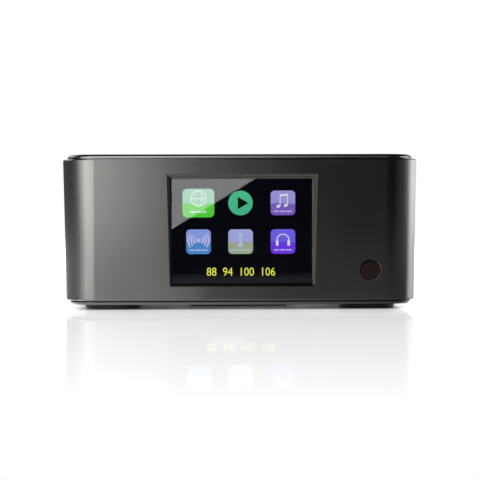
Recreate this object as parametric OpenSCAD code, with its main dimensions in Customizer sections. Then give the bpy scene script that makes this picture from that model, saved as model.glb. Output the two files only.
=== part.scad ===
// Compact music streamer and radio tuner, front towards -Y, standing on z = 0.
// The origin is the middle of the footprint, folded aerial included. Millimetres.

/* [Body] */
// Width of the wall at its upper edge
body_w = 171; // [160:1:200]
// Depth of the wall at its upper edge
body_d = 122; // [116:1:150]
// Height of the wall
wall_h = 67.4; // [66:0.1:80]
// Corner radius of the wall at its upper edge
corner_r = 16; // [14.5:0.5:20]
// Lean of every wall in degrees, wider at the top
draft = 1.25; // [0.5:0.05:1.5]
// Thickness of the wall at its lower edge
wall_t = 2.75; // [2.5:0.05:3.2]
// Chamfer on both edges of the wall
edge_cut = 0.5; // [0.2:0.1:0.8]

/* [Covers] */
// How far the top cover's rim stands in from the wall
top_inset = 2.1; // [1.8:0.1:2.6]
// Thickness of the top cover above the shadow gap
top_t = 1.75; // [1.2:0.05:2.4]
// Radius of the top cover's rounded rim
top_round = 2.6; // [2.4:0.1:4]
// Height of the shadow gap between wall and covers
shadow_gap = 0.5; // [0.3:0.1:0.8]
// Depth of the top cover's shadow gap
top_groove = 0.8; // [0.4:0.1:1.2]
// How far the base's rim stands in from the wall
base_inset = 1.9; // [1.6:0.1:2.1]
// Height of the base's rim below the shadow gap
base_rim = 1.5; // [1.2:0.1:2.4]
// Bevel on the base's rim
base_bevel = 1; // [0.4:0.1:1.1]
// Depth of the base's shadow gap
base_groove = 0.4; // [0.2:0.05:0.5]
// Thickness of the base's floor
base_t = 2.5; // [2.3:0.1:3]
// Height of the locating skirts inside the wall
skirt_h = 3; // [2:0.1:3.2]
// Thickness of the locating skirts
skirt_t = 1.5; // [1:0.1:2]
// Clearance of the skirts inside the wall
skirt_gap = 0.2; // [0.1:0.05:0.4]

/* [Feet and case screws] */
// Diameter of a rubber foot
foot_d = 27; // [22:0.5:30]
// Height of a foot below the base
foot_h = 2.5; // [2:0.1:4]
// Depth of a foot's pocket in the base
foot_pocket = 0.8; // [0.4:0.1:1]
// Diameter of the hole in the middle of a foot
foot_bore = 8; // [7.5:0.5:12]
// Distance of a foot's middle from the side wall
foot_in_x = 22; // [20:0.5:26]
// Distance of a foot's middle from the front and rear walls
foot_in_y = 22.5; // [20:0.5:26]
// Bevel round a foot's lower edge
foot_bevel = 0.6; // [0.2:0.1:1]
// Diameter of the posts and bosses that take the case screws
post_d = 8; // [7:0.5:10]
// Height of the base's posts above its floor
post_h = 9; // [7:0.5:12]
// Diameter of a case screw's shank
case_screw_d = 2.9; // [2.5:0.1:3.5]
// Length of a case screw's shank
case_screw_l = 22; // [18:1:30]
// Diameter of a case screw's head
case_head_d = 5.5; // [5:0.1:7]
// Height of a case screw's head
case_head_h = 1.8; // [1.4:0.1:2.2]

/* [Underside] */
// Width of the shallow recess under the base
recess_w = 50; // [40:1:60]
// Length of the recess under the base
recess_l = 44; // [30:1:50]
// Depth of the recess under the base
recess_t = 0.8; // [0.4:0.1:1]
// Distance of the recess from the front wall
recess_in = 36; // [30:1:40]
// Length of a vent slot
vent_l = 18; // [10:1:20]
// Width of a vent slot
vent_w = 2; // [1.5:0.1:2.5]
// Spacing of the vent slots
vent_pitch = 5; // [4:0.5:6]
// Number of vent slots on each side
vent_count = 6; // [4:1:7]
// Distance of the vent rows from the middle
vent_x = 44; // [42:1:46]

/* [Display] */
// Width of the visible window
window_w = 67.1; // [60:0.1:70]
// Wall above and below the visible window
window_edge = 8.7; // [8.2:0.1:12]
// Display middle to the right of the body's middle
display_x = 0.65; // [0:0.1:3]
// Display middle below the wall's middle
display_drop = 0.75; // [0:0.05:1]
// Slope of the display's surround in degrees
flare = 48; // [44:1:52]
// Depth of the bezel in front of the glass
bezel_h = 2.6; // [2:0.1:2.8]
// Depth of the bezel's sloping part
bezel_slope = 0.5; // [0.4:0.02:0.8]
// Width of the land at the bezel's front edge
bezel_land = 0.1; // [0.1:0.05:0.3]
// Clearance round the bezel
bezel_gap = 0.15; // [0.1:0.05:0.3]
// Border of the display glass behind the wall
glass_border = 2.3; // [1.5:0.1:2.6]
// Thickness of the display glass
glass_t = 1.5; // [1:0.1:2]
// Air gap between the display glass and the panel
lcd_gap = 0.3; // [0.2:0.05:0.5]
// Width of the panel past the visible window
panel_over = 2.5; // [1:0.1:4]
// Thickness of the display panel
lcd_t = 1.4; // [1:0.1:2]
// Thickness of the backlight tray
backlight_t = 2; // [1.5:0.1:3]
// Wall of the display bracket
bracket_t = 2; // [1.5:0.1:2.2]
// Thickness of the bracket's back web
bracket_web = 1.1; // [0.8:0.1:2]
// Width of the bracket's rear border
bracket_border = 9; // [6:0.5:14]
// Clearance of the display's pieces in the bracket
bracket_gap = 0.2; // [0.1:0.05:0.3]

/* [Front board] */
// Thickness of the circuit boards
board_t = 1.6; // [1.2:0.1:2]
// Reach of the front board above and below the display panel
board_over = 1.75; // [1:0.05:2.5]
// Distance of the front board's screws from its edges
board_edge = 4; // [3:0.5:5]
// Gap between the display bracket and the bosses beside it
bracket_side = 1.6; // [1:0.1:3]
// Diameter of the front and rear bosses
boss_d = 6; // [5:0.5:6.5]
// Diameter of a small screw's shank
small_screw_d = 2.2; // [2:0.1:2.6]
// Length of a small screw's shank
small_screw_l = 6; // [5:0.5:7]
// Diameter of a small screw's head
small_head_d = 4.4; // [4:0.1:5]
// Height of a small screw's head
small_head_h = 1.5; // [1:0.1:2]
// Clearance of a screw's shank in its thread hole
screw_gap = 0.05; // [0.03:0.01:0.1]
// Clearance of a screw's shank in a through hole
pass_gap = 0.1; // [0.1:0.05:0.2]
// Crown of a screw's head as a share of the head's diameter
head_crown = 0.8; // [0.6:0.05:0.9]
// Length of a screw's cross slot as a share of the head's diameter
cross_l = 0.57; // [0.4:0.01:0.6]
// Width of a screw's cross slot as a share of the head's diameter
cross_w = 0.12; // [0.1:0.01:0.2]
// Depth of a screw's cross slot as a share of the head's height
cross_t = 0.5; // [0.3:0.05:0.7]

/* [Infra-red window] */
// Diameter of the infra-red window
ir_d = 9.5; // [8:0.1:12]
// Infra-red window's distance from the wall's side
ir_in = 24; // [22:0.1:27]
// Infra-red window's height above the wall's lower edge
ir_rise = 14.4; // [12:0.1:20]
// Depth of the window below the wall's face
ir_sink = 0.8; // [0.3:0.1:1.2]
// Clearance round the window
ir_gap = 0.15; // [0.1:0.05:0.3]
// Chamfer round the window's hole
ir_cut = 0.2; // [0.2:0.05:0.6]
// Width of the window's flange behind the wall
ir_flange = 1.6; // [1:0.1:2]
// Thickness of the window's flange
ir_flange_t = 1.2; // [0.8:0.1:1.5]
// Width of the infra-red receiver
receiver_w = 5.6; // [5:0.1:6]
// Height of the infra-red receiver
receiver_h = 6.8; // [6:0.1:7]
// Depth of the infra-red receiver's body
receiver_t = 2.4; // [2:0.1:2.8]
// Radius of the infra-red receiver's lens
receiver_r = 1.7; // [1.2:0.1:1.9]

/* [Main board] */
// Width of the main board
main_w = 104; // [100:1:106]
// Depth of the main board
main_d = 92; // [88:1:94]
// Height of the main board's stand-offs
standoff_h = 6; // [5:0.5:7]
// Diameter of the main board's stand-offs
standoff_d = 6; // [5:0.5:7]
// Distance of the stand-offs from the main board's front and sides
standoff_in = 6; // [5:0.5:8]
// Distance of the rear stand-offs from the main board's rear edge
standoff_rear = 20; // [18:0.5:24]
// Gap between the main board and the rear wall
main_gap = 1.3; // [0.8:0.1:2]
// Width of the ribbon cable
ribbon_w = 20; // [16:1:24]
// Thickness of the ribbon cable
ribbon_t = 0.4; // [0.3:0.1:0.6]
// Bend radius of the ribbon cable
ribbon_r = 4; // [3:0.5:6]
// Height of the ribbon's socket on the front board above the main board
ribbon_rise = 12; // [10:0.5:16]
// Depth of a ribbon socket
ribbon_socket_d = 3; // [2.5:0.1:4]
// Thickness of a ribbon socket
ribbon_socket_t = 3.6; // [3:0.1:4]
// Network module's distance from the middle
module_x = -24; // [-28:1:-22]
// Network module's distance from the main board's front edge
module_y = 24; // [22:1:28]
// Width of the network module
module_w = 34; // [30:1:36]
// Depth of the network module
module_d = 26; // [24:1:28]
// Height of the network module's shield
shield_h = 2.4; // [2:0.1:3]
// Border of the network module round its shield
shield_rim = 3; // [2:0.5:4]
// Border of the network module on its aerial side
shield_side = 9; // [6:0.5:10]
// Tuner's distance from the middle
tuner_x = 24; // [20:1:26]
// Tuner's distance from the main board's front edge
tuner_y = 48; // [46:1:50]
// Width of the tuner's shield
tuner_w = 30; // [26:1:32]
// Depth of the tuner's shield
tuner_d = 22; // [20:1:24]
// Height of the tuner's shield
tuner_h = 6; // [5:0.5:8]
// Diameter of the dimples in the tuner's shield
dimple_d = 3; // [2:0.5:4]
// Depth of the dimples in the tuner's shield
dimple_t = 0.4; // [0.2:0.1:0.6]
// Capacitors' distance from the middle
capacitor_x = -33; // [-36:1:-30]
// Capacitors' distance from the main board's front edge
capacitor_y = 62; // [58:1:64]
// Spacing of the capacitors
capacitor_pitch = 10; // [9:0.5:12]
// Diameter of a capacitor
capacitor_d = 8; // [6:0.5:8.5]
// Height of a capacitor
capacitor_h = 11; // [9:0.5:12]
// Height of the chips
chip_t = 1.2; // [1:0.1:1.6]
// Width of the processor chip
processor_w = 14; // [12:1:16]
// Processor chip's distance from the middle
processor_x = 24; // [20:1:28]
// Processor chip's distance from the main board's front edge
processor_y = 22; // [18:1:26]
// Width of the sound chip
sound_w = 9; // [7:1:10]
// Sound chip's distance from the middle
sound_x = 2; // [0:1:3]
// Sound chip's distance from the main board's front edge
sound_y = 52; // [50:1:56]
// Width of the regulator chip
regulator_w = 6; // [5:1:8]
// Regulator chip's distance from the middle
regulator_x = -8; // [-12:1:-6]
// Regulator chip's distance from the main board's front edge
regulator_y = 66; // [64:1:68]

/* [Rear panel] */
// Width of the rear panel
panel_w = 124; // [122:1:126]
// Wall above the rear panel
panel_edge = 12.6; // [10:0.1:14]
// Thickness of the rear panel
panel_t = 1.5; // [1.2:0.1:1.6]
// Ledge of the wall behind the panel
ledge_t = 1.2; // [1:0.1:1.3]
// Width of the ledge at the panel's sides
ledge_side = 6; // [5.5:0.1:7]
// Width of the ledge above and below
ledge_edge = 3; // [2:0.1:3.5]
// Clearance round the rear panel
panel_gap = 0.2; // [0.1:0.05:0.3]
// Corner radius of the rear panel
panel_r = 3; // [2:0.5:4]
// Clearance round the sockets in the panel
socket_gap = 0.3; // [0.2:0.05:0.4]
// How far the sockets stand out of the panel
socket_proud = 0.3; // [0.2:0.1:0.6]

/* [Sockets] */
// Power socket's distance from the middle
dc_x = -46; // [-47:0.5:-45]
// Width of the power socket
dc_w = 9; // [8:0.5:10]
// Height of the power socket
dc_h = 11; // [10:0.5:12]
// Length of the power socket
dc_l = 14; // [12:0.5:16]
// Diameter of the power socket's bore
dc_bore = 6.3; // [5.6:0.1:6.5]
// Depth of the power socket's bore
dc_depth = 9.5; // [8:0.5:10]
// Diameter of the power socket's pin
dc_pin_d = 2; // [1.6:0.1:2.5]
// Depth of the pin's end below the power socket's face
dc_pin_sink = 2; // [1:0.1:3]
// Power button's distance from the middle
button_x = -30; // [-32:0.5:-28]
// Diameter of the power button
button_d = 6.6; // [6:0.1:8]
// Travel of the power button
button_travel = 2; // [1.5:0.1:2.5]
// How far the power button stands out of the panel
button_proud = 3.4; // [3:0.1:4.5]
// Width of the power switch
switch_w = 9; // [8:0.5:10]
// Length of the power switch
switch_l = 10; // [9:0.5:12]
// Wall at the back of the power switch
switch_t = 1; // [0.8:0.1:1.5]
// Width of the power button's stem
stem_w = 3; // [2.5:0.1:3.5]
// Optical socket's distance from the middle
optical_x = -10; // [-12:0.5:-8]
// Width of the optical socket
optical_w = 11; // [10.5:0.5:12]
// Height of the optical socket
optical_h = 11; // [10.5:0.5:12]
// Length of the optical socket
optical_l = 14; // [13:0.5:16]
// Wall round the optical socket's opening
optical_t = 1.3; // [1:0.1:1.5]
// Depth of the optical socket's opening
optical_depth = 9; // [8:0.5:10]
// Cut corners and lens radius of the optical socket's opening
optical_key = 1.5; // [1:0.1:2]
// Line output block's distance from the middle
line_x = 17; // [16:0.5:18]
// Spacing of the two line outputs
line_pitch = 14; // [13:0.5:15]
// Width of the line output block
line_w = 26; // [25:0.5:28]
// Height of the line output block
line_h = 15; // [14:0.5:16]
// Length of the line output block
line_l = 11; // [10:0.5:14]
// Height of the line outputs above the board
line_rise = 8; // [7.5:0.1:9]
// Diameter of a line output's barrel
barrel_d = 8.3; // [8:0.1:8.6]
// Wall of a line output's barrel
barrel_t = 0.7; // [0.5:0.1:1]
// How far the barrels stand out of the panel
barrel_l = 9; // [8:0.5:10]
// Depth of an insert's face below the end of its barrel
insert_sink = 1.2; // [0.8:0.1:2]
// Bore of a line output's insert
line_bore = 3.3; // [3.2:0.1:3.6]
// Headphone socket's distance from the middle
phone_x = 40; // [39:0.5:41]
// Width of the headphone socket
phone_w = 8; // [7:0.5:9]
// Length of the headphone socket
phone_l = 12; // [11:0.5:14]
// Diameter of the headphone socket's collar
phone_collar = 6; // [5.5:0.1:7]
// Bore of the headphone socket
phone_bore = 3.6; // [3.55:0.05:3.7]

/* [Aerial] */
// Aerial's pivot from the middle
aerial_x = 47; // [44:0.5:48]
// Aerial's pivot below the rear panel's upper edge
aerial_drop = 11; // [10.5:0.1:13]
// Diameter of the bush through the panel
bush_d = 8; // [7:0.5:9]
// Diameter of the bush's flange
bush_flange_d = 12; // [11:0.5:13]
// Thickness of the bush's flange
bush_flange_t = 1.2; // [1:0.1:2]
// Width of the bush's nut across its corners
nut_d = 14; // [13:0.5:14.5]
// Thickness of the bush's nut
nut_t = 2.5; // [2:0.1:3]
// Diameter of the swivel's stud
stud_d = 5; // [4:0.1:5.5]
// Running clearance of the stud, pins and tubes
run_gap = 0.05; // [0.03:0.01:0.08]
// Diameter of the retaining clip
clip_d = 7.6; // [7:0.1:8]
// Thickness of the retaining clip
clip_t = 0.8; // [0.6:0.1:1.2]
// Clearance under the swivel and the clip
swivel_gap = 0.1; // [0.05:0.05:0.2]
// Diameter of the swivel's disc
swivel_d = 11; // [10:0.5:12]
// Thickness of the swivel's disc
swivel_t = 1.5; // [1.2:0.1:2]
// Diameter of the knuckle
knuckle_d = 8; // [7:0.5:9]
// Thickness of the knuckle
knuckle_t = 4.4; // [4:0.1:5]
// Thickness of the swivel's ears
ear_t = 1.8; // [1.5:0.1:2.2]
// Diameter of the knuckle's pin
pin_d = 2.4; // [2:0.1:3]
// Diameter of the pin's heads
pin_head_d = 3.8; // [3.4:0.1:4.4]
// Height of the pin's heads
pin_head_h = 0.6; // [0.4:0.1:0.8]
// Clearance between the knuckle and the swivel
knuckle_gap = 0.25; // [0.15:0.05:0.4]
// Outer diameter of the widest tube
tube_d = 6; // [5.6:0.1:6.4]
// Wall of the tubes
tube_t = 0.35; // [0.3:0.05:0.4]
// Length of the widest tube
tube_l = 104; // [95:1:108]
// Start of the widest tube from the pivot
tube_start = 8; // [7.5:0.1:9]
// Length of the root's spigot inside the widest tube
root_l = 2.8; // [2:0.1:4]
// How far each tube's inner end stands past the wider one's
tube_nest = 0.4; // [0.3:0.1:0.6]
// How far each tube stands out of the wider one
tube_step = 2.5; // [2:0.1:3]
// Diameter of the aerial's tip
tip_d = 5.2; // [5:0.1:6]
// Length of the aerial's tip
tip_l = 6; // [5:0.5:7]
// Diameter of the aerial's lead
lead_d = 1; // [0.8:0.1:1.4]
// Bend radius of the aerial's lead
lead_r = 3; // [2:0.5:4]

/* [Hidden] */
$fn = 64;
// Extra length of a cutting shape past the face it cuts
past = 1;

// Heights
base_low = foot_h;
gap_low = base_low + base_rim;
wall_low = gap_low + shadow_gap;
wall_high = wall_low + wall_h;
wall_mid = (wall_low + wall_high) / 2;
plate_low = wall_high + shadow_gap;
plate_high = plate_low + top_t;
floor_z = base_low + base_t;
split_z = floor_z + post_h;
pocket_z = base_low + foot_pocket;

// Plan: corner centres, and the wall's radius about them at a height
corner_x = body_w / 2 - corner_r;
corner_y = body_d / 2 - corner_r;
function wall_r(z) = corner_r - (wall_high - z) * tan(draft);
inner_r = wall_r(wall_low) - wall_t;
top_r = corner_r - top_inset;
base_r = wall_r(wall_low) - base_inset;
skirt_r = inner_r - skirt_gap;
front_in = -(corner_y + inner_r);
rear_in = corner_y + inner_r;
function front_face(z) = -(corner_y + wall_r(z));
foot_x = corner_x + wall_r(wall_low) - foot_in_x;
foot_y = corner_y + wall_r(wall_low) - foot_in_y;

// Screw holes
case_hole_d = case_screw_d + 2 * screw_gap;
case_pass_d = case_screw_d + 2 * pass_gap;
small_hole_d = small_screw_d + 2 * screw_gap;
small_pass_d = small_screw_d + 2 * pass_gap;

// Display, from the wall's inner face backwards
display_z = wall_mid - display_drop;
window_h = wall_h - 2 * window_edge;
bezel_out = bezel_slope * tan(flare) + bezel_land;
glass_w = window_w + 2 * glass_border;
glass_h = window_h + 2 * glass_border;
lcd_w = window_w + panel_over;
lcd_h = window_h + panel_over;
bracket_w = glass_w + 2 * (bracket_gap + bracket_t);
bracket_h = glass_h + 2 * (bracket_gap + bracket_t);
glass_back = front_in + glass_t;
lcd_front = glass_back + lcd_gap;
backlight_front = lcd_front + lcd_t;
web_front = backlight_front + backlight_t;
front_board_y = web_front + bracket_web;
front_board_back = front_board_y + board_t;
ir_x = body_w / 2 - ir_in;
ir_z = wall_low + ir_rise;
ir_front = front_face(ir_z) + ir_sink;
ir_flange_r = ir_d / 2 + ir_flange;
front_screw_x = bracket_w / 2 + bracket_side + boss_d / 2;
front_board_h = lcd_h + 2 * board_over;
front_screw_z = front_board_h / 2 - board_edge;
front_board_left = front_screw_x + board_edge;
front_board_right = ir_x - display_x + receiver_w / 2 + board_edge;

// Main board
main_low = floor_z + standoff_h;
main_top = main_low + board_t;
main_back = rear_in - main_gap;
main_front = main_back - main_d;
standoff_x = main_w / 2 - standoff_in;
ribbon_z = main_top + ribbon_rise;
ribbon_start = front_board_back + ribbon_socket_d;
ribbon_down = max(main_front + ribbon_socket_t / 2, ribbon_start + ribbon_r);

// Rear panel
panel_low = main_top - socket_gap - ledge_edge;
panel_h = wall_high - panel_edge - panel_low;
panel_z = panel_low + panel_h / 2;
panel_in = rear_in + ledge_t;
panel_out = panel_in + panel_t;
panel_screw_x = panel_w / 2 - ledge_side / 2;
panel_screw_z = panel_h / 2 - ledge_edge;
socket_face = panel_out + socket_proud;
dc_z = main_top + dc_h / 2;
button_z = main_top + switch_w / 2;
optical_z = main_top + optical_h / 2;
line_z = main_top + line_rise;
phone_z = main_top + phone_w / 2;
button_face = panel_out + button_proud;
button_back = panel_in - button_travel;
switch_face = button_back - button_travel - socket_gap;

// Aerial, pointing to -X along its pivot's height when folded
aerial_z = panel_low + panel_h - aerial_drop;
bush_face = panel_out + bush_flange_t;
bush_back = panel_in - nut_t - swivel_gap;
disc_back = bush_face + swivel_gap;
ear_back = disc_back + swivel_t;
rod_y = ear_back + knuckle_gap + knuckle_d / 2;
rear_reach = rod_y + knuckle_d / 2;
ear_low = knuckle_t / 2 + swivel_gap;
ear_high = ear_low + ear_t;
tube_count = 5;
function tube_r(i) = tube_d / 2 - i * (tube_t + run_gap);
function tube_bore(i) = tube_r(i) - tube_t;
function tube_from(i) = tube_start + (i == 0 ? 0 : root_l + tube_nest * i);
function tube_to(i) = tube_start + tube_l + i * tube_step;

// The frame's origin: middle of the whole depth
frame_y = -(rear_reach + front_face(wall_high - edge_cut)) / 2;
module placed() { translate([0, frame_y, 0]) children(); }

// Carries an edge profile round the rectangle of corner centres.
// The profile's x runs outwards from a corner's centre, and its y is the height.
module swept_ring() {
  for (flip = [0, 1]) {
    mirror([flip, 0, 0]) translate([corner_x, 0, 0]) rotate([90, 0, 0])
      linear_extrude(2 * corner_y, center = true) children();
    mirror([0, flip, 0]) translate([0, corner_y, 0]) rotate([90, 0, 90])
      linear_extrude(2 * corner_x, center = true) children();
    for (turn = [0, 1]) mirror([flip, 0, 0]) mirror([0, turn, 0])
      translate([corner_x, corner_y, 0]) rotate_extrude(angle = 90) children();
  }
}

// The same with its middle filled between two heights
module swept_plate(low, high) {
  swept_ring() children();
  translate([-corner_x, -corner_y, low]) cube([2 * corner_x, 2 * corner_y, high - low]);
}

// Cylinder along Y from one place to another
module rod_along_y(x, z, from, to, d) {
  translate([x, from, z]) rotate([-90, 0, 0]) cylinder(h = to - from, d = d);
}

// Box given by its middle in X and Z and its reach in Y
module block_along_y(x, z, from, to, w, h) {
  translate([x - w / 2, from, z - h / 2]) cube([w, to - from, h]);
}

// Rectangle with round corners
module rounded_rect(w, h, r) {
  square([w, h - 2 * r], center = true);
  square([w - 2 * r, h], center = true);
  for (x = [-1, 1], y = [-1, 1]) translate([x * (w / 2 - r), y * (h / 2 - r)]) circle(r);
}

// Slot with round ends
module slot(l, w) {
  square([l - w, w], center = true);
  for (x = [-1, 1]) translate([x * (l - w) / 2, 0]) circle(d = w);
}

// Plate standing in XZ with round corners
module standing_plate(x, z, from, to, w, h, r) {
  translate([x, from, z]) rotate([-90, 0, 0]) linear_extrude(to - from) rounded_rect(w, h, r);
}

// Opening round the window: straight at first, then widening towards the front
module flared_block(grow, start, behind, reach) {
  near = front_in + behind;
  mid = front_in - start;
  far = front_in - reach;
  x = window_w / 2 + grow;
  z = window_h / 2 + grow;
  widen = (reach - start) * tan(flare);
  translate([display_x, 0, display_z]) intersection() {
    linear_extrude(2 * (z + widen), center = true)
      polygon([[-x, near], [x, near], [x, mid], [x + widen, far], [-x - widen, far], [-x, mid]]);
    rotate([90, 0, 90]) linear_extrude(2 * (x + widen), center = true)
      polygon([[near, -z], [near, z], [mid, z], [far, z + widen], [far, -z - widen], [mid, -z]]);
  }
}

// Places of what comes in fours
module at_feet() { for (x = [-1, 1], y = [-1, 1]) translate([x * foot_x, y * foot_y, 0]) children(); }
module at_front_screws() {
  for (x = [-1, 1], z = [-1, 1])
    translate([display_x + x * front_screw_x, 0, display_z + z * front_screw_z]) children();
}
module at_panel_screws() {
  for (x = [-1, 1], z = [-1, 1])
    translate([x * panel_screw_x, 0, panel_z + z * panel_screw_z]) children();
}
module at_standoffs() {
  for (x = [-1, 1], y = [main_front + standoff_in, main_back - standoff_rear])
    translate([x * standoff_x, y, 0]) children();
}

// Profiles of the case
module wall_profile() {
  polygon([
    [inner_r, wall_low], [wall_r(wall_low) - edge_cut, wall_low],
    [wall_r(wall_low + edge_cut), wall_low + edge_cut],
    [wall_r(wall_high - edge_cut), wall_high - edge_cut],
    [wall_r(wall_high) - edge_cut, wall_high], [inner_r, wall_high]
  ]);
}
module top_profile() {
  run = sqrt(pow(top_round, 2) - pow(top_round - top_t, 2));
  translate([0, wall_high]) square([top_r - top_groove, shadow_gap]);
  intersection() {
    translate([0, plate_low]) square([top_r, top_t]);
    union() {
      translate([0, plate_low]) square([top_r - run, top_t]);
      translate([top_r - run, plate_high - top_round]) circle(top_round);
    }
  }
}
module base_profile() {
  polygon([
    [0, base_low], [base_r - base_bevel, base_low], [base_r, base_low + base_bevel],
    [base_r, gap_low], [base_r - base_groove, gap_low], [base_r - base_groove, wall_low],
    [0, wall_low]
  ]);
}
module skirt_profile(low, high) {
  translate([skirt_r - skirt_t, low]) square([skirt_t, high - low]);
}

// Case
module body_shell() {
  wall_reach = wall_r(wall_high) - inner_r + past;
  bezel_rim = bezel_land + bezel_gap;
  ir_hole_r = ir_d / 2 + ir_gap;
  color("#3d3d40") placed() difference() {
    union() {
      swept_ring() wall_profile();
      at_front_screws() rod_along_y(0, 0, front_in - past, front_board_y, boss_d);
      at_panel_screws() rod_along_y(0, 0, rear_in - small_screw_l, rear_in + ledge_t / 2, boss_d);
    }
    flared_block(bezel_out + bezel_gap, bezel_h + bezel_rim / tan(flare), past, wall_reach);
    rod_along_y(ir_x, ir_z, front_in - wall_reach, front_in + past, 2 * ir_hole_r);
    translate([ir_x, front_face(ir_z) - past, ir_z]) rotate([-90, 0, 0])
      cylinder(h = past + ir_cut, r1 = ir_hole_r + ir_cut + past, r2 = ir_hole_r);
    standing_plate(0, panel_z, panel_in, rear_in + wall_reach,
      panel_w + 2 * panel_gap, panel_h + 2 * panel_gap, panel_r + panel_gap);
    block_along_y(0, panel_z, rear_in - past, panel_in + past,
      panel_w - 2 * ledge_side, panel_h - 2 * ledge_edge);
    at_front_screws() rod_along_y(0, 0, front_board_y - small_screw_l, front_board_y + past,
      small_hole_d);
    at_panel_screws() rod_along_y(0, 0, rear_in - small_screw_l - past, panel_in + past,
      small_hole_d);
  }
}

module top_cover() {
  color("#333336") placed() difference() {
    union() {
      swept_plate(wall_high, plate_high) top_profile();
      swept_ring() skirt_profile(wall_high - skirt_h, wall_high + shadow_gap);
      at_feet() translate([0, 0, split_z]) cylinder(h = plate_low - split_z, d = post_d);
    }
    at_feet() translate([0, 0, split_z - past])
      cylinder(h = case_screw_l, d = case_hole_d);
  }
}

module base_plate() {
  color("#2f2d2c") placed() difference() {
    union() {
      swept_plate(base_low, wall_low) base_profile();
      swept_plate(wall_low, floor_z) translate([0, wall_low]) square([skirt_r, floor_z - wall_low]);
      swept_ring() skirt_profile(wall_low - shadow_gap, wall_low + skirt_h);
      at_feet() translate([0, 0, floor_z - foot_pocket]) cylinder(h = post_h + foot_pocket, d = post_d);
      at_standoffs() translate([0, 0, floor_z - foot_pocket])
        cylinder(h = standoff_h + foot_pocket, d = standoff_d);
    }
    at_feet() translate([0, 0, base_low - past])
      cylinder(h = past + foot_pocket, d = foot_d + 2 * skirt_gap);
    at_feet() translate([0, 0, base_low]) cylinder(h = split_z, d = case_pass_d);
    at_standoffs() translate([0, 0, main_low - small_screw_l + board_t])
      cylinder(h = small_screw_l, d = small_hole_d);
    translate([-recess_w / 2, -(corner_y + wall_r(wall_low)) + recess_in, base_low - past])
      cube([recess_w, recess_l, past + recess_t]);
    for (side = [-1, 1], i = [0 : vent_count - 1])
      translate([side * vent_x, (i - (vent_count - 1) / 2) * vent_pitch, base_low - past])
        linear_extrude(base_t + 2 * past) slot(vent_l, vent_w);
  }
}

module rubber_feet() {
  tall = foot_h + foot_pocket;
  color("#141414") placed() at_feet() difference() {
    rotate_extrude() polygon([
      [0, 0], [foot_d / 2 - foot_bevel, 0], [foot_d / 2, foot_bevel], [foot_d / 2, tall], [0, tall]
    ]);
    translate([0, 0, -past]) cylinder(h = tall + 2 * past, d = foot_bore);
  }
}

// Pan-head screw standing on its head's seat at z = 0, shank upwards
module screw(shank_d, shank_l, head_d, head_h) {
  cylinder(h = shank_l, d = shank_d);
  difference() {
    translate([0, 0, -head_h]) cylinder(h = head_h, d1 = head_d * head_crown, d2 = head_d);
    for (turn = [0, 90]) rotate(turn) translate([0, 0, -head_h - past])
      linear_extrude(past + head_h * cross_t) square([head_d * cross_l, head_d * cross_w], center = true);
  }
}

module case_screws() {
  color("#8d8f92") placed() at_feet() translate([0, 0, pocket_z])
    screw(case_screw_d, case_screw_l, case_head_d, case_head_h);
}

// Display
module display_bezel() {
  color("#38383b") placed() difference() {
    block_along_y(display_x, display_z, front_in - bezel_h, front_in,
      window_w + 2 * bezel_out, window_h + 2 * bezel_out);
    flared_block(0, bezel_h - bezel_slope, past, bezel_h + past);
  }
}

module display_glass() {
  color("#202428", 0.5) placed()
    standing_plate(display_x, display_z, front_in, glass_back, glass_w, glass_h, bracket_t);
}

module lcd_panel() {
  color("#101018") placed()
    block_along_y(display_x, display_z, lcd_front, backlight_front, lcd_w, lcd_h);
}

module lcd_backlight() {
  color("#c9ccd0") placed()
    block_along_y(display_x, display_z, backlight_front, web_front, lcd_w, lcd_h);
}

module display_bracket() {
  color("#26262a") placed() difference() {
    standing_plate(display_x, display_z, front_in, front_board_y, bracket_w, bracket_h, 2 * bracket_t);
    standing_plate(display_x, display_z, front_in - past, glass_back,
      glass_w + 2 * bracket_gap, glass_h + 2 * bracket_gap, bracket_t + bracket_gap);
    block_along_y(display_x, display_z, front_in, web_front,
      lcd_w + 2 * bracket_gap, lcd_h + 2 * bracket_gap);
    block_along_y(display_x, display_z, front_in, front_board_y + past,
      lcd_w - 2 * bracket_border, lcd_h - 2 * bracket_border);
  }
}

module front_board() {
  color("#1f5b38") placed() difference() {
    translate([display_x - front_board_left, front_board_y, display_z - front_board_h / 2])
      cube([front_board_left + front_board_right, board_t, front_board_h]);
    at_front_screws() rod_along_y(0, 0, front_board_y - past, front_board_back + past,
      small_pass_d);
  }
}

module front_board_screws() {
  color("#8d8f92") placed() at_front_screws() translate([0, front_board_back, 0])
    rotate([90, 0, 0]) screw(small_screw_d, small_screw_l, small_head_d, small_head_h);
}

// Infra-red window
module ir_window() {
  color("#3a1512") placed() {
    rod_along_y(ir_x, ir_z, ir_front, front_in + ir_flange_t / 2, ir_d);
    rod_along_y(ir_x, ir_z, front_in, front_in + ir_flange_t, 2 * ir_flange_r);
  }
}

module ir_receiver() {
  body_front = front_board_y - receiver_t;
  color("#17171a") placed() {
    block_along_y(ir_x, ir_z, body_front, front_board_y, receiver_w, receiver_h);
    intersection() {
      translate([ir_x, body_front, ir_z]) sphere(receiver_r);
      block_along_y(ir_x, ir_z, body_front - receiver_r, front_board_y, receiver_w, receiver_h);
    }
  }
}

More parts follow.
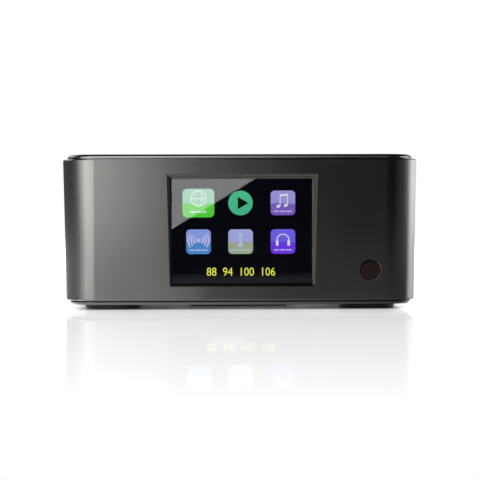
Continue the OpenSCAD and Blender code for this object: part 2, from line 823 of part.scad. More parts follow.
// Cable between the boards
module ribbon_cable() {
  half = ribbon_t / 2;
  flat = ribbon_down - ribbon_r;
  low = main_top + ribbon_socket_d;
  color("#d8d4c8") placed() translate([display_x, 0, 0]) rotate([90, 0, 90])
    linear_extrude(ribbon_w, center = true) {
      translate([ribbon_start, ribbon_z - half]) square([flat - ribbon_start, ribbon_t]);
      translate([flat, ribbon_z - ribbon_r]) intersection() {
        difference() {
          circle(ribbon_r + half);
          circle(ribbon_r - half);
        }
        square(ribbon_r + ribbon_t);
      }
      translate([ribbon_down - half, low]) square([ribbon_t, ribbon_z - ribbon_r - low]);
    }
}

module ribbon_sockets() {
  w = ribbon_w + ribbon_socket_d;
  color("#e6e2d6") placed() {
    block_along_y(display_x, ribbon_z, front_board_back, ribbon_start, w, ribbon_socket_t);
    translate([display_x - w / 2, ribbon_down - ribbon_socket_t / 2, main_top])
      cube([w, ribbon_socket_t, ribbon_socket_d]);
  }
}

// Main board and what is on it
module main_board() {
  color("#1f5b38") placed() difference() {
    translate([-main_w / 2, main_front, main_low]) cube([main_w, main_d, board_t]);
    at_standoffs() translate([0, 0, main_low - past])
      cylinder(h = board_t + 2 * past, d = small_pass_d);
  }
}

module main_board_screws() {
  color("#8d8f92") placed() at_standoffs() translate([0, 0, main_top])
    mirror([0, 0, 1]) screw(small_screw_d, small_screw_l, small_head_d, small_head_h);
}

// Box that stands on the board, placed from the middle and from the board's front edge
module on_board(x, y, z, size) {
  translate([x - size[0] / 2, main_front + y - size[1] / 2, z]) cube(size);
}

module network_module() {
  color("#173f6b") placed() on_board(module_x, module_y, main_top, [module_w, module_d, board_t / 2]);
}

module network_shield() {
  w = module_w - shield_rim - shield_side;
  color("#b9bcc0") placed()
    on_board(module_x + (shield_side - shield_rim) / 2, module_y, main_top + board_t / 2,
      [w, module_d - 2 * shield_rim, shield_h]);
}

module tuner_shield() {
  color("#b9bcc0") placed() difference() {
    on_board(tuner_x, tuner_y, main_top, [tuner_w, tuner_d, tuner_h]);
    translate([tuner_x, main_front + tuner_y, main_top + tuner_h - dimple_t])
      for (x = [-1, 1], y = [-1, 1]) translate([x * tuner_w / 4, y * tuner_d / 4, 0])
        cylinder(h = dimple_t + past, d = dimple_d);
  }
}

module capacitors() {
  color("#2a2c44") placed() for (side = [-1, 1])
    translate([capacitor_x + side * capacitor_pitch / 2, main_front + capacitor_y, main_top])
      cylinder(h = capacitor_h, d = capacitor_d);
}

module board_chips() {
  color("#151516") placed() {
    on_board(processor_x, processor_y, main_top, [processor_w, processor_w, chip_t]);
    on_board(sound_x, sound_y, main_top, [sound_w, sound_w, chip_t]);
    on_board(regulator_x, regulator_y, main_top, [regulator_w, regulator_w, chip_t]);
  }
}

module aerial_lead() {
  start = panel_in - nut_t;
  level = aerial_z - nut_d / 2 * cos(30) + lead_d;
  turn_y = start - lead_r - lead_d;
  color("#20201f") placed() {
    rod_along_y(aerial_x, level, turn_y, start, lead_d);
    translate([aerial_x, turn_y, level - lead_r]) rotate([90, 0, -90]) rotate_extrude(angle = 90)
      translate([lead_r, 0]) circle(d = lead_d);
    translate([aerial_x, turn_y - lead_r, main_top]) cylinder(h = level - lead_r - main_top, d = lead_d);
  }
}

// Rear panel and its sockets
module rear_panel() {
  from = panel_in - past;
  to = panel_out + past;
  function grown(size) = size + 2 * socket_gap;
  color("#1b1b1d") placed() difference() {
    standing_plate(0, panel_z, panel_in, panel_out, panel_w, panel_h, panel_r);
    block_along_y(dc_x, dc_z, from, to, grown(dc_w), grown(dc_h));
    block_along_y(optical_x, optical_z, from, to, grown(optical_w), grown(optical_h));
    for (side = [-1, 1])
      rod_along_y(line_x + side * line_pitch / 2, line_z, from, to, grown(barrel_d));
    rod_along_y(phone_x, phone_z, from, to, grown(phone_collar));
    rod_along_y(button_x, button_z, from, to, button_d + 2 * run_gap);
    rod_along_y(aerial_x, aerial_z, from, to, bush_d + 2 * run_gap);
    at_panel_screws() rod_along_y(0, 0, from, to, small_pass_d);
    at_panel_screws() translate([0, panel_out, 0]) rotate([90, 0, 0]) translate([0, 0, -past])
      cylinder(h = past + panel_t / 2, d = small_head_d + 2 * pass_gap);
  }
}

module rear_panel_screws() {
  seat = panel_out - panel_t / 2;
  color("#8d8f92") placed() at_panel_screws() translate([0, seat, 0]) rotate([90, 0, 0])
    screw(small_screw_d, small_screw_l, small_head_d, panel_t / 2);
}

module dc_jack() {
  color("#121214") placed() difference() {
    block_along_y(dc_x, dc_z, socket_face - dc_l, socket_face, dc_w, dc_h);
    rod_along_y(dc_x, dc_z, socket_face - dc_depth, socket_face + past, dc_bore);
  }
}

module dc_pin() {
  color("#c8c9cc") placed()
    rod_along_y(dc_x, dc_z, socket_face - dc_depth, socket_face - dc_pin_sink, dc_pin_d);
}

module headphone_socket() {
  color("#121214") placed() difference() {
    union() {
      block_along_y(phone_x, phone_z, panel_in - phone_l, panel_in, phone_w, phone_w);
      rod_along_y(phone_x, phone_z, panel_in - past, socket_face, phone_collar);
    }
    rod_along_y(phone_x, phone_z, panel_in - phone_l - past, socket_face + past, phone_bore);
  }
}

module optical_socket() {
  bay_w = optical_w - 2 * optical_t;
  bay_h = optical_h - 2 * optical_t;
  bay_back = socket_face - optical_depth;
  color("#121214") placed() difference() {
    block_along_y(optical_x, optical_z, socket_face - optical_l, socket_face, optical_w, optical_h);
    translate([optical_x, socket_face + past, optical_z]) rotate([90, 0, 0])
      linear_extrude(optical_depth + past) polygon([
        [-bay_w / 2, -bay_h / 2], [bay_w / 2, -bay_h / 2],
        [bay_w / 2, bay_h / 2 - optical_key], [bay_w / 2 - optical_key, bay_h / 2],
        [-bay_w / 2 + optical_key, bay_h / 2], [-bay_w / 2, bay_h / 2 - optical_key]
      ]);
    rod_along_y(optical_x, optical_z, bay_back - optical_key, socket_face, 2 * optical_key);
  }
}

module line_out_block() {
  color("#121214") placed()
    translate([line_x - line_w / 2, panel_in - line_l, main_top]) cube([line_w, line_l, line_h]);
}

module line_out_barrels() {
  color("#d5cfba") placed() for (side = [-1, 1]) difference() {
    rod_along_y(line_x + side * line_pitch / 2, line_z, panel_in, panel_out + barrel_l, barrel_d);
    rod_along_y(line_x + side * line_pitch / 2, line_z, panel_in - past, panel_out + barrel_l + past,
      barrel_d - 2 * barrel_t);
  }
}

module line_insert(side) {
  x = line_x + side * line_pitch / 2;
  insert_d = barrel_d - 2 * barrel_t - 2 * run_gap;
  placed() difference() {
    rod_along_y(x, line_z, panel_in, panel_out + barrel_l - insert_sink, insert_d);
    rod_along_y(x, line_z, panel_in + panel_t, panel_out + barrel_l + past, line_bore);
  }
}
module line_out_insert_white() { color("#ecebe6") line_insert(1); }
module line_out_insert_red() { color("#b3231c") line_insert(-1); }

module power_switch() {
  color("#19191b") placed() difference() {
    block_along_y(button_x, button_z, switch_face - switch_l, switch_face, switch_w, switch_w);
    block_along_y(button_x, button_z, switch_face - switch_l + switch_t, switch_face + past,
      stem_w + 2 * socket_gap, stem_w + 2 * socket_gap);
  }
}

module power_button() {
  stem_in = switch_face - switch_l + switch_t + button_travel + socket_gap;
  color("#4a4a4d") placed() {
    rod_along_y(button_x, button_z, button_back, button_face, button_d);
    block_along_y(button_x, button_z, stem_in, button_back + past, stem_w, stem_w);
  }
}

// Aerial: fixed bush and nut
module antenna_bush() {
  color("#c8c9cc") placed() difference() {
    union() {
      rod_along_y(aerial_x, aerial_z, bush_back, bush_face, bush_d);
      rod_along_y(aerial_x, aerial_z, panel_out, bush_face, bush_flange_d);
    }
    rod_along_y(aerial_x, aerial_z, bush_back - past, bush_face + past, stud_d + 2 * run_gap);
  }
}

module antenna_nut() {
  color("#c8c9cc") placed() difference() {
    translate([aerial_x, panel_in, aerial_z]) rotate([90, 0, 0]) cylinder(h = nut_t, d = nut_d, $fn = 6);
    rod_along_y(aerial_x, aerial_z, panel_in - nut_t - past, panel_in + past, bush_d + 2 * screw_gap);
  }
}

// Turning part: stud, disc and two ears
module antenna_swivel() {
  stud_end = bush_back - swivel_gap - clip_t - swivel_gap;
  color("#c8c9cc") placed() difference() {
    union() {
      rod_along_y(aerial_x, aerial_z, stud_end, ear_back, stud_d);
      rod_along_y(aerial_x, aerial_z, disc_back, ear_back, swivel_d);
      for (side = [-1, 1]) translate([aerial_x, 0, aerial_z + side * (ear_low + ear_high) / 2]) {
        translate([-knuckle_d / 2, disc_back, -ear_t / 2]) cube([knuckle_d, rod_y - disc_back, ear_t]);
        translate([0, rod_y, -ear_t / 2]) cylinder(h = ear_t, d = knuckle_d);
      }
    }
    translate([aerial_x, rod_y, aerial_z - ear_high - past])
      cylinder(h = 2 * (ear_high + past), d = pin_d + 2 * screw_gap);
  }
}

module antenna_clip() {
  color("#8d8f92") placed() difference() {
    rod_along_y(aerial_x, aerial_z, bush_back - swivel_gap - clip_t, bush_back - swivel_gap, clip_d);
    rod_along_y(aerial_x, aerial_z, bush_back - clip_t - past, bush_back, stud_d + 2 * screw_gap);
    block_along_y(aerial_x, aerial_z - clip_d / 2, bush_back - clip_t - past, bush_back,
      stud_d / 2, clip_d);
  }
}

module antenna_pin() {
  color("#8d8f92") placed() translate([aerial_x, rod_y, aerial_z]) {
    translate([0, 0, -ear_high]) cylinder(h = 2 * ear_high, d = pin_d);
    for (side = [0, 1]) mirror([0, 0, side]) translate([0, 0, ear_high])
      cylinder(h = pin_head_h, d1 = pin_head_d, d2 = pin_d);
  }
}

// Cylinder along the folded aerial, between two distances from its pivot
module along_rod(from, to, r) {
  translate([aerial_x - from, rod_y, aerial_z]) rotate([0, -90, 0]) cylinder(h = to - from, r = r);
}

module antenna_root() {
  neck_from = knuckle_d / 2 + knuckle_gap * 2;
  color("#c8c9cc") placed() difference() {
    union() {
      translate([aerial_x, rod_y, aerial_z - knuckle_t / 2]) cylinder(h = knuckle_t, d = knuckle_d);
      along_rod(0, neck_from + past, knuckle_t / 2 - run_gap);
      along_rod(neck_from, tube_start, tube_d / 2 + tube_t);
      along_rod(tube_start - past, tube_start + root_l - run_gap, tube_bore(0) - run_gap);
    }
    translate([aerial_x, rod_y, aerial_z - knuckle_t])
      cylinder(h = 2 * knuckle_t, d = pin_d + 2 * run_gap);
  }
}

module antenna_tube(i) {
  last = tube_count - 1;
  color("#d3d5d8") placed() difference() {
    along_rod(tube_from(i), tube_to(i), tube_r(i));
    if (i < last) along_rod(tube_from(i) - past, tube_to(i) + past, tube_bore(i));
  }
}
module antenna_tube_1() { antenna_tube(0); }
module antenna_tube_2() { antenna_tube(1); }
module antenna_tube_3() { antenna_tube(2); }
module antenna_tube_4() { antenna_tube(3); }
module antenna_tube_5() { antenna_tube(4); }

module antenna_tip() {
  end = tube_to(tube_count - 1);
  round_l = tip_d / 4;
  color("#d3d5d8") placed() {
    along_rod(end, end + tip_l - round_l, tip_d / 2);
    translate([aerial_x - end - tip_l + round_l, rod_y, aerial_z]) rotate([0, -90, 0])
      cylinder(h = round_l, r1 = tip_d / 2, r2 = tip_d / 4);
  }
}

body_shell();
top_cover();
base_plate();
rubber_feet();
case_screws();
display_bezel();
display_glass();
lcd_panel();
lcd_backlight();
display_bracket();
front_board();
front_board_screws();
ir_window();
ir_receiver();
ribbon_cable();
ribbon_sockets();
main_board();
main_board_screws();
network_module();
network_shield();
tuner_shield();
capacitors();
board_chips();
aerial_lead();
rear_panel();
rear_panel_screws();
dc_jack();
dc_pin();
headphone_socket();
optical_socket();
line_out_block();
line_out_barrels();
line_out_insert_white();
line_out_insert_red();
power_switch();
power_button();
antenna_bush();
antenna_nut();
antenna_swivel();
antenna_clip();
antenna_pin();
antenna_root();
antenna_tube_1();
antenna_tube_2();
antenna_tube_3();
antenna_tube_4();
antenna_tube_5();
antenna_tip();
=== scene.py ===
import math

import bmesh
import bpy
from mathutils import Matrix, Vector


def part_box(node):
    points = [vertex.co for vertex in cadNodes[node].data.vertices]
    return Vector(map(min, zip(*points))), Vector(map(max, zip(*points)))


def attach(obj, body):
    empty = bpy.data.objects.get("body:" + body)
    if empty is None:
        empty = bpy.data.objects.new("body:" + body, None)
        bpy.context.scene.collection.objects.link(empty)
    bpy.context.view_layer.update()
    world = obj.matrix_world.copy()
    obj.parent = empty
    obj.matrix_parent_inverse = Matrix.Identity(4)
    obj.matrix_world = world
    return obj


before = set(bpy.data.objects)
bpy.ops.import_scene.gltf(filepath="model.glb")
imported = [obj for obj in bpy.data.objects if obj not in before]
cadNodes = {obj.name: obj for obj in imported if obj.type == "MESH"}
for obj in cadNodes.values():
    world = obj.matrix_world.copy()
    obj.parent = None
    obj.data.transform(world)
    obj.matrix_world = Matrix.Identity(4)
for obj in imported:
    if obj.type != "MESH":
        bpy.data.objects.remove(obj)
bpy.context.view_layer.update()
scene = bpy.context.scene
scene.view_settings.view_transform = "Standard"
mm = 0.001
print("frame loaded:", len(cadNodes), "solids")

# camera: level with the lower half of the display, looking slightly down
cameraSet = {
    "place": (-0.0132, -0.765, 0.0468), "down": 1.103, "roll": 0.165, "right": 1.049,
    "lens": 110.7, "sensor": 36, "nearest": 0.01}
cameraData = bpy.data.cameras.new("photoCamera")
cameraData.lens = cameraSet["lens"]
cameraData.sensor_width = cameraSet["sensor"]
cameraData.clip_start = cameraSet["nearest"]
cameraObject = bpy.data.objects.new("photoCamera", cameraData)
cameraObject.location = cameraSet["place"]
cameraObject.rotation_euler = [
    math.radians(turn) for turn in (90 - cameraSet["down"], cameraSet["roll"], -cameraSet["right"])]
scene.collection.objects.link(cameraObject)
scene.camera = cameraObject


def tone(text):
    # hex screen colour to the linear colour that the shaders take
    parts = [int(text[i:i + 2], 16) / 255 for i in (1, 3, 5)]
    return tuple(p / 12.92 if p < 0.04045 else ((p + 0.055) / 1.055) ** 2.4 for p in parts) + (1,)


def grey(level):
    return (level, level, level, 1)


# shared effects
def newGroup(name, inputs, outputs):
    group = bpy.data.node_groups.new(name, "ShaderNodeTree")
    for label, start in inputs:
        group.interface.new_socket(label, in_out="INPUT", socket_type="NodeSocketFloat").default_value = start
    for label, kind in outputs:
        group.interface.new_socket(label, in_out="OUTPUT", socket_type=kind)
    enter = group.nodes.new("NodeGroupInput")
    leave = group.nodes.new("NodeGroupOutput")
    return group, enter, leave


def addMath(tree, operation, first, second=None, clamp=False):
    node = tree.nodes.new("ShaderNodeMath")
    node.operation = operation
    node.use_clamp = clamp
    for socket, value in zip(node.inputs, (first, second)):
        if value is None:
            continue
        if isinstance(value, (int, float)):
            socket.default_value = value
        else:
            tree.links.new(value, socket)
    return node.outputs[0]


def objectAxes(tree):
    # the X, Y and Z of the Object coordinates
    coords = tree.nodes.new("ShaderNodeTexCoord")
    split = tree.nodes.new("ShaderNodeSeparateXYZ")
    tree.links.new(coords.outputs["Object"], split.inputs[0])
    return split.outputs


def remap(tree, value, start, end, low=0.0, high=1.0, smooth=False):
    # a value from start to end becomes one from low to high
    node = tree.nodes.new("ShaderNodeMapRange")
    node.interpolation_type = "SMOOTHSTEP" if smooth else "LINEAR"
    for label, number in (("From Min", start), ("From Max", end), ("To Min", low), ("To Max", high)):
        node.inputs[label].default_value = number
    tree.links.new(value, node.inputs["Value"])
    return node.outputs["Result"]


def buildGrain():
    # fine mottling and slow smudges on Object coordinates
    grainSet = {"Grain": ("Scale", 2.0), "Smudge": ("Slow Scale", 4.0), "breakUp": 0.55}
    group, enter, leave = newGroup(
        "surfaceGrain", [("Scale", 4000.0), ("Slow Scale", 30.0)],
        [("Grain", "NodeSocketFloat"), ("Smudge", "NodeSocketFloat")])
    coords = group.nodes.new("ShaderNodeTexCoord")
    for target in ("Grain", "Smudge"):
        label, detail = grainSet[target]
        noise = group.nodes.new("ShaderNodeTexNoise")
        noise.inputs["Detail"].default_value = detail
        noise.inputs["Roughness"].default_value = grainSet["breakUp"]
        group.links.new(coords.outputs["Object"], noise.inputs["Vector"])
        group.links.new(enter.outputs[label], noise.inputs["Scale"])
        group.links.new(noise.outputs["Fac"], leave.inputs[target])
    return group


def buildEdgeWear():
    # rounded edge normal, and a broken mask along the edges
    wearSet = {"samples": 4, "gain": 6.0, "patches": 220, "detail": 3}
    group, enter, leave = newGroup(
        "edgeWear", [("Radius", 0.0003), ("Amount", 1.0)],
        [("Edge", "NodeSocketFloat"), ("Normal", "NodeSocketVector")])
    rounding = group.nodes.new("ShaderNodeBevel")
    rounding.samples = wearSet["samples"]
    group.links.new(enter.outputs["Radius"], rounding.inputs["Radius"])
    shape = group.nodes.new("ShaderNodeNewGeometry")
    turn = group.nodes.new("ShaderNodeVectorMath")
    turn.operation = "DOT_PRODUCT"
    group.links.new(rounding.outputs["Normal"], turn.inputs[0])
    group.links.new(shape.outputs["Normal"], turn.inputs[1])
    edge = addMath(group, "SUBTRACT", 1.0, turn.outputs["Value"])
    edge = addMath(group, "MULTIPLY", edge, wearSet["gain"], clamp=True)
    coords = group.nodes.new("ShaderNodeTexCoord")
    noise = group.nodes.new("ShaderNodeTexNoise")
    noise.inputs["Scale"].default_value = wearSet["patches"]
    noise.inputs["Detail"].default_value = wearSet["detail"]
    group.links.new(coords.outputs["Object"], noise.inputs["Vector"])
    edge = addMath(group, "MULTIPLY", edge, noise.outputs["Fac"])
    edge = addMath(group, "MULTIPLY", edge, enter.outputs["Amount"], clamp=True)
    group.links.new(edge, leave.inputs["Edge"])
    group.links.new(rounding.outputs["Normal"], leave.inputs["Normal"])
    return group


def buildPixelGrid():
    # dark lines between a screen's pixels
    lineShare = 0.09
    group, enter, leave = newGroup(
        "pixelGrid", [("Pitch", 0.0002025), ("Depth", 0.35)], [("Light", "NodeSocketFloat")])
    axes = objectAxes(group)
    gaps = []
    for axis in ("X", "Z"):
        step = addMath(group, "DIVIDE", axes[axis], enter.outputs["Pitch"])
        step = addMath(group, "PINGPONG", step, 0.5)
        gaps.append(addMath(group, "LESS_THAN", step, lineShare))
    gap = addMath(group, "MAXIMUM", gaps[0], gaps[1])
    gap = addMath(group, "MULTIPLY", gap, enter.outputs["Depth"])
    group.links.new(addMath(group, "SUBTRACT", 1.0, gap), leave.inputs["Light"])
    return group


grainGroup = buildGrain()
wearGroup = buildEdgeWear()
pixelGroup = buildPixelGrid()
print("shared effects ready")


def startMaterial(name):
    material = bpy.data.materials.new(name)
    material.use_nodes = True
    tree = material.node_tree
    tree.nodes.clear()
    out = tree.nodes.new("ShaderNodeOutputMaterial")
    shader = tree.nodes.new("ShaderNodeBsdfPrincipled")
    tree.links.new(shader.outputs[0], out.inputs["Surface"])
    return material, tree, shader


def addGroup(tree, group, **values):
    node = tree.nodes.new("ShaderNodeGroup")
    node.node_tree = group
    for label, value in values.items():
        node.inputs[label.replace("_", " ")].default_value = value
    return node


def mixColour(tree, factor, first, second):
    node = tree.nodes.new("ShaderNodeMix")
    node.data_type = "RGBA"
    for socket, value in ((node.inputs[0], factor), (node.inputs[6], first), (node.inputs[7], second)):
        if isinstance(value, (int, float, tuple)):
            socket.default_value = value
        else:
            tree.links.new(value, socket)
    return node.outputs[2]


noiseSpan = (0.3, 0.7)


def span(tree, value, low, high):
    # maps a noise value to a range
    return remap(tree, value, *noiseSpan, low, high)


def addPaintedShade(tree, boxes):
    # mask of painted shade on joints and faces: boxes in Object coordinates, also by the face's turn to the
    # right
    axes = objectAxes(tree)
    lean = tree.nodes.new("ShaderNodeSeparateXYZ")
    tree.links.new(tree.nodes.new("ShaderNodeNewGeometry").outputs["Normal"], lean.inputs[0])
    values = {**{axis: axes[axis] for axis in "XYZ"}, "turn": lean.outputs["X"]}
    shadeMask = None
    for box in boxes:
        inside = None
        for label, (low, high) in box.items():
            along = addMath(tree, "COMPARE", values[label], (low + high) / 2)
            along.node.inputs[2].default_value = (high - low) / 2
            inside = along if inside is None else addMath(tree, "MULTIPLY", inside, along)
        shadeMask = inside if shadeMask is None else addMath(tree, "MAXIMUM", shadeMask, inside)
    return shadeMask


def addRimShadow(tree, middle, low, high):
    # painted shadow of a hole's edge: grows outside a circle that is a little off centre
    coords = tree.nodes.new("ShaderNodeTexCoord")
    flat = tree.nodes.new("ShaderNodeVectorMath")
    flat.operation = "MULTIPLY"
    flat.inputs[1].default_value = (1, 0, 1)
    tree.links.new(coords.outputs["Object"], flat.inputs[0])
    apart = tree.nodes.new("ShaderNodeVectorMath")
    apart.operation = "DISTANCE"
    apart.inputs[1].default_value = middle
    tree.links.new(flat.outputs["Vector"], apart.inputs[0])
    return remap(tree, apart.outputs["Value"], low, high)


# what a finish has where its own dictionary says nothing
plainFinish = {
    "slow": 30.0, "edge": 0.0002, "wear": 0.5, "bump": 0.1, "depth": 0.00005, "metal": 0.0, "paintedShadeSpecular": 1.0}


def makeFinish(name, own):
    # colour with mottling, uneven gloss, fine bump and worn edges, with painted shade and a painted rim shadow
    # where the finish asks for them
    look = {**plainFinish, **own}
    material, tree, shader = startMaterial(name)
    grain = addGroup(tree, grainGroup, Scale=look["grain"], Slow_Scale=look["slow"])
    wear = addGroup(tree, wearGroup, Radius=look["edge"], Amount=look["wear"])
    colour = mixColour(tree, span(tree, grain.outputs["Grain"], 0.0, 1.0), look["colour"], look["fleck"])
    colour = mixColour(tree, wear.outputs["Edge"], colour, look["worn"])
    # painted shade: the masked boxes get a darker colour and a duller reflection
    if "paintedShade" in look:
        shadeMask = addPaintedShade(tree, look["paintedShade"])
        colour = mixColour(tree, shadeMask, colour, grey(look["paintedShadeTone"]))
        shadeSpecularTint = mixColour(tree, shadeMask, grey(1.0), grey(look["paintedShadeSpecular"]))
        tree.links.new(shadeSpecularTint, shader.inputs["Specular Tint"])
    if "rimShadow" in look:
        colour = mixColour(tree, addRimShadow(tree, *look["rimShadow"]), colour, grey(look["rimShadowTone"]))
    tree.links.new(colour, shader.inputs["Base Color"])
    tree.links.new(span(tree, grain.outputs["Smudge"], *look["rough"]), shader.inputs["Roughness"])
    bump = tree.nodes.new("ShaderNodeBump")
    bump.inputs["Strength"].default_value = look["bump"]
    bump.inputs["Distance"].default_value = look["depth"]
    tree.links.new(grain.outputs["Grain"], bump.inputs["Height"])
    tree.links.new(wear.outputs["Normal"], bump.inputs["Normal"])
    tree.links.new(bump.outputs["Normal"], shader.inputs["Normal"])
    shader.inputs["Metallic"].default_value = look["metal"]
    return material


def dress(material, *names):
    for name in names:
        for slot in cadNodes[name].material_slots:
            slot.material = material


# case: satin gunmetal paint, duller on the cover's flat top where painted shade dims its sheen; painted shade
# below the display frame and on the shell's left window edge
casePaint = makeFinish("casePaint", {
    "colour": (0.165, 0.162, 0.156, 1), "fleck": (0.185, 0.182, 0.176, 1), "worn": (0.24, 0.235, 0.23, 1),
    "metal": 1.0, "rough": (0.20, 0.225), "grain": 5200.0, "slow": 26.0, "bump": 0.05, "depth": 0.00003,
    "edge": 0.00015, "wear": 0.3,
    # painted shade: a thin dark strip under the display opening, and the right-facing cut at the opening's left
    # edge
    "paintedShadeTone": 0.05, "paintedShade": (
        {"X": (-0.0337, 0.0346), "Y": (-0.07, -0.06), "Z": (0.01106, 0.0118)},
        {"X": (-0.037, -0.033), "Y": (-0.07, -0.06), "Z": (0.0112, 0.0645), "turn": (0.3, 1.0)})})
dress(casePaint, "body_shell")
coverPaint = makeFinish("coverPaint", {
    "colour": (0.14, 0.137, 0.132, 1), "fleck": (0.16, 0.157, 0.152, 1), "worn": (0.22, 0.216, 0.21, 1),
    "metal": 1.0, "rough": (0.20, 0.235), "grain": 5200.0, "slow": 22.0, "bump": 0.05, "depth": 0.00003,
    "edge": 0.0003, "wear": 0.4,
    # painted shade on the flat top: a darker colour and duller reflection that dim its sheen
    "paintedShadeTone": 0.05, "paintedShadeSpecular": 0.65, "paintedShade": ({"Z": (0.07412, 0.075)},)})
dress(coverPaint, "top_cover")
basePlastic = makeFinish("basePlastic", {
    "colour": (0.165, 0.158, 0.152, 1), "fleck": (0.19, 0.182, 0.175, 1), "worn": (0.22, 0.215, 0.21, 1),
    "metal": 0.85, "rough": (0.28, 0.34), "grain": 3600.0, "slow": 30.0, "bump": 0.12, "depth": 0.00005,
    # painted shade: the base's top band in the gap under the wall, and the recess's back and right walls
    # underneath
    "edge": 0.0002, "wear": 0.4, "paintedShadeTone": 0.012, "paintedShade": (
        {"Z": (0.0037, 0.02)},
        {"Y": (0.0154, 0.016), "X": (-0.0252, 0.0252), "Z": (0.0, 0.0031)},
        {"X": (0.0247, 0.0253), "Y": (-0.0285, 0.016), "Z": (0.0, 0.0031)})})
dress(basePlastic, "base_plate")
footRubber = makeFinish("footRubber", {
    "colour": grey(0.010), "fleck": grey(0.018), "worn": grey(0.035),
    "rough": (0.6, 0.78), "grain": 2600.0, "slow": 60.0, "bump": 0.35, "depth": 0.00008,
    "edge": 0.0003, "wear": 0.6})
dress(footRubber, "rubber_feet")
screwSteel = makeFinish("screwSteel", {
    "colour": grey(0.45), "fleck": grey(0.55), "worn": grey(0.72), "metal": 1.0,
    "rough": (0.24, 0.38), "grain": 3000.0, "slow": 300.0, "bump": 0.1, "edge": 0.00012, "wear": 0.8})
dress(screwSteel, "case_screws", "front_board_screws", "main_board_screws", "rear_panel_screws")
print("case dressed")

# display frame and remote window
bezelPaint = makeFinish("bezelPaint", {
    "colour": (0.20, 0.196, 0.182, 1), "fleck": (0.225, 0.22, 0.206, 1), "worn": (0.27, 0.265, 0.25, 1),
    "metal": 1.0, "rough": (0.22, 0.25), "grain": 4200.0, "bump": 0.05, "depth": 0.00003,
    # painted shade on the frame's lower edge and its left slope
    "edge": 0.00006, "wear": 0.5, "paintedShadeTone": 0.05, "paintedShade": (
        {"X": (-0.0337, 0.0342), "Z": (0.011, 0.01247)}, {"X": (-0.0337, -0.0328)})})
dress(bezelPaint, "display_bezel")
irRed = makeFinish("irRed", {
    "colour": (0.022, 0.0115, 0.0100, 1), "fleck": (0.026, 0.013, 0.0115, 1), "worn": (0.034, 0.02, 0.018, 1),
    "rough": (0.16, 0.24), "grain": 1500.0, "slow": 90.0, "bump": 0.03, "edge": 0.0001, "wear": 0.4,
    # painted shadow: a dark crescent round the window's edge, off centre
    "rimShadow": ((0.0616, 0, 0.0183), 0.0042, 0.0047), "rimShadowTone": 0.0012})
dress(irRed, "ir_window")


def makeGlass(name, look):
    material, tree, shader = startMaterial(name)
    grain = addGroup(tree, grainGroup, Scale=look["smear"], Slow_Scale=look["smearSlow"])
    tree.links.new(span(tree, grain.outputs["Grain"], *look["rough"]), shader.inputs["Roughness"])
    shader.inputs["Base Color"].default_value = look["tint"]
    shader.inputs["Transmission Weight"].default_value = 1.0
    shader.inputs["IOR"].default_value = look["ior"]
    return material


displayGlass = makeGlass("displayGlass", {
    "tint": (0.93, 0.94, 0.95, 1), "smear": 90.0, "smearSlow": 18.0, "rough": (0.0, 0.02), "ior": 1.5})
dress(displayGlass, "display_glass")

# inner pieces
innerPlastic = makeFinish("innerPlastic", {
    "colour": grey(0.035), "fleck": grey(0.045), "worn": grey(0.08), "rough": (0.5, 0.62),
    "grain": 2500.0, "bump": 0.15})
dress(innerPlastic, "display_bracket")
reflectorWhite = makeFinish("reflectorWhite", {
    "colour": grey(0.72), "fleck": grey(0.78), "worn": grey(0.6), "rough": (0.4, 0.5), "grain": 2500.0})
dress(reflectorWhite, "lcd_backlight")
boardGreen = makeFinish("boardGreen", {
    "colour": (0.02, 0.115, 0.05, 1), "fleck": (0.028, 0.15, 0.066, 1), "worn": (0.3, 0.27, 0.16, 1),
    "rough": (0.3, 0.42), "grain": 900.0, "bump": 0.2, "edge": 0.00015, "wear": 0.8})
dress(boardGreen, "front_board", "main_board")
boardBlue = makeFinish("boardBlue", {
    "colour": (0.012, 0.05, 0.17, 1), "fleck": (0.016, 0.065, 0.21, 1), "worn": (0.3, 0.27, 0.16, 1),
    "rough": (0.3, 0.42), "grain": 900.0, "bump": 0.2, "edge": 0.00015, "wear": 0.8})
dress(boardBlue, "network_module")
chipBlack = makeFinish("chipBlack", {
    "colour": grey(0.018), "fleck": grey(0.026), "worn": grey(0.06), "rough": (0.5, 0.62),
    "grain": 3500.0, "bump": 0.2})
dress(chipBlack, "board_chips", "ir_receiver")
ribbonPale = makeFinish("ribbonPale", {
    "colour": (0.62, 0.59, 0.52, 1), "fleck": (0.68, 0.65, 0.58, 1), "worn": (0.75, 0.72, 0.66, 1),
    "rough": (0.4, 0.5), "grain": 1800.0})
dress(ribbonPale, "ribbon_cable", "ribbon_sockets")
shieldTin = makeFinish("shieldTin", {
    "colour": grey(0.55), "fleck": grey(0.62), "worn": grey(0.75), "metal": 1.0, "rough": (0.3, 0.42),
    "grain": 700.0, "slow": 120.0, "bump": 0.15})
dress(shieldTin, "network_shield", "tuner_shield")
capacitorSleeve = makeFinish("capacitorSleeve", {
    "colour": (0.03, 0.033, 0.09, 1), "fleck": (0.036, 0.04, 0.11, 1), "worn": (0.2, 0.2, 0.24, 1),
    "rough": (0.25, 0.35), "grain": 1500.0})
dress(capacitorSleeve, "capacitors")
leadBlack = makeFinish("leadBlack", {
    "colour": grey(0.015), "fleck": grey(0.022), "worn": grey(0.04), "rough": (0.45, 0.6), "grain": 2500.0})
dress(leadBlack, "aerial_lead")

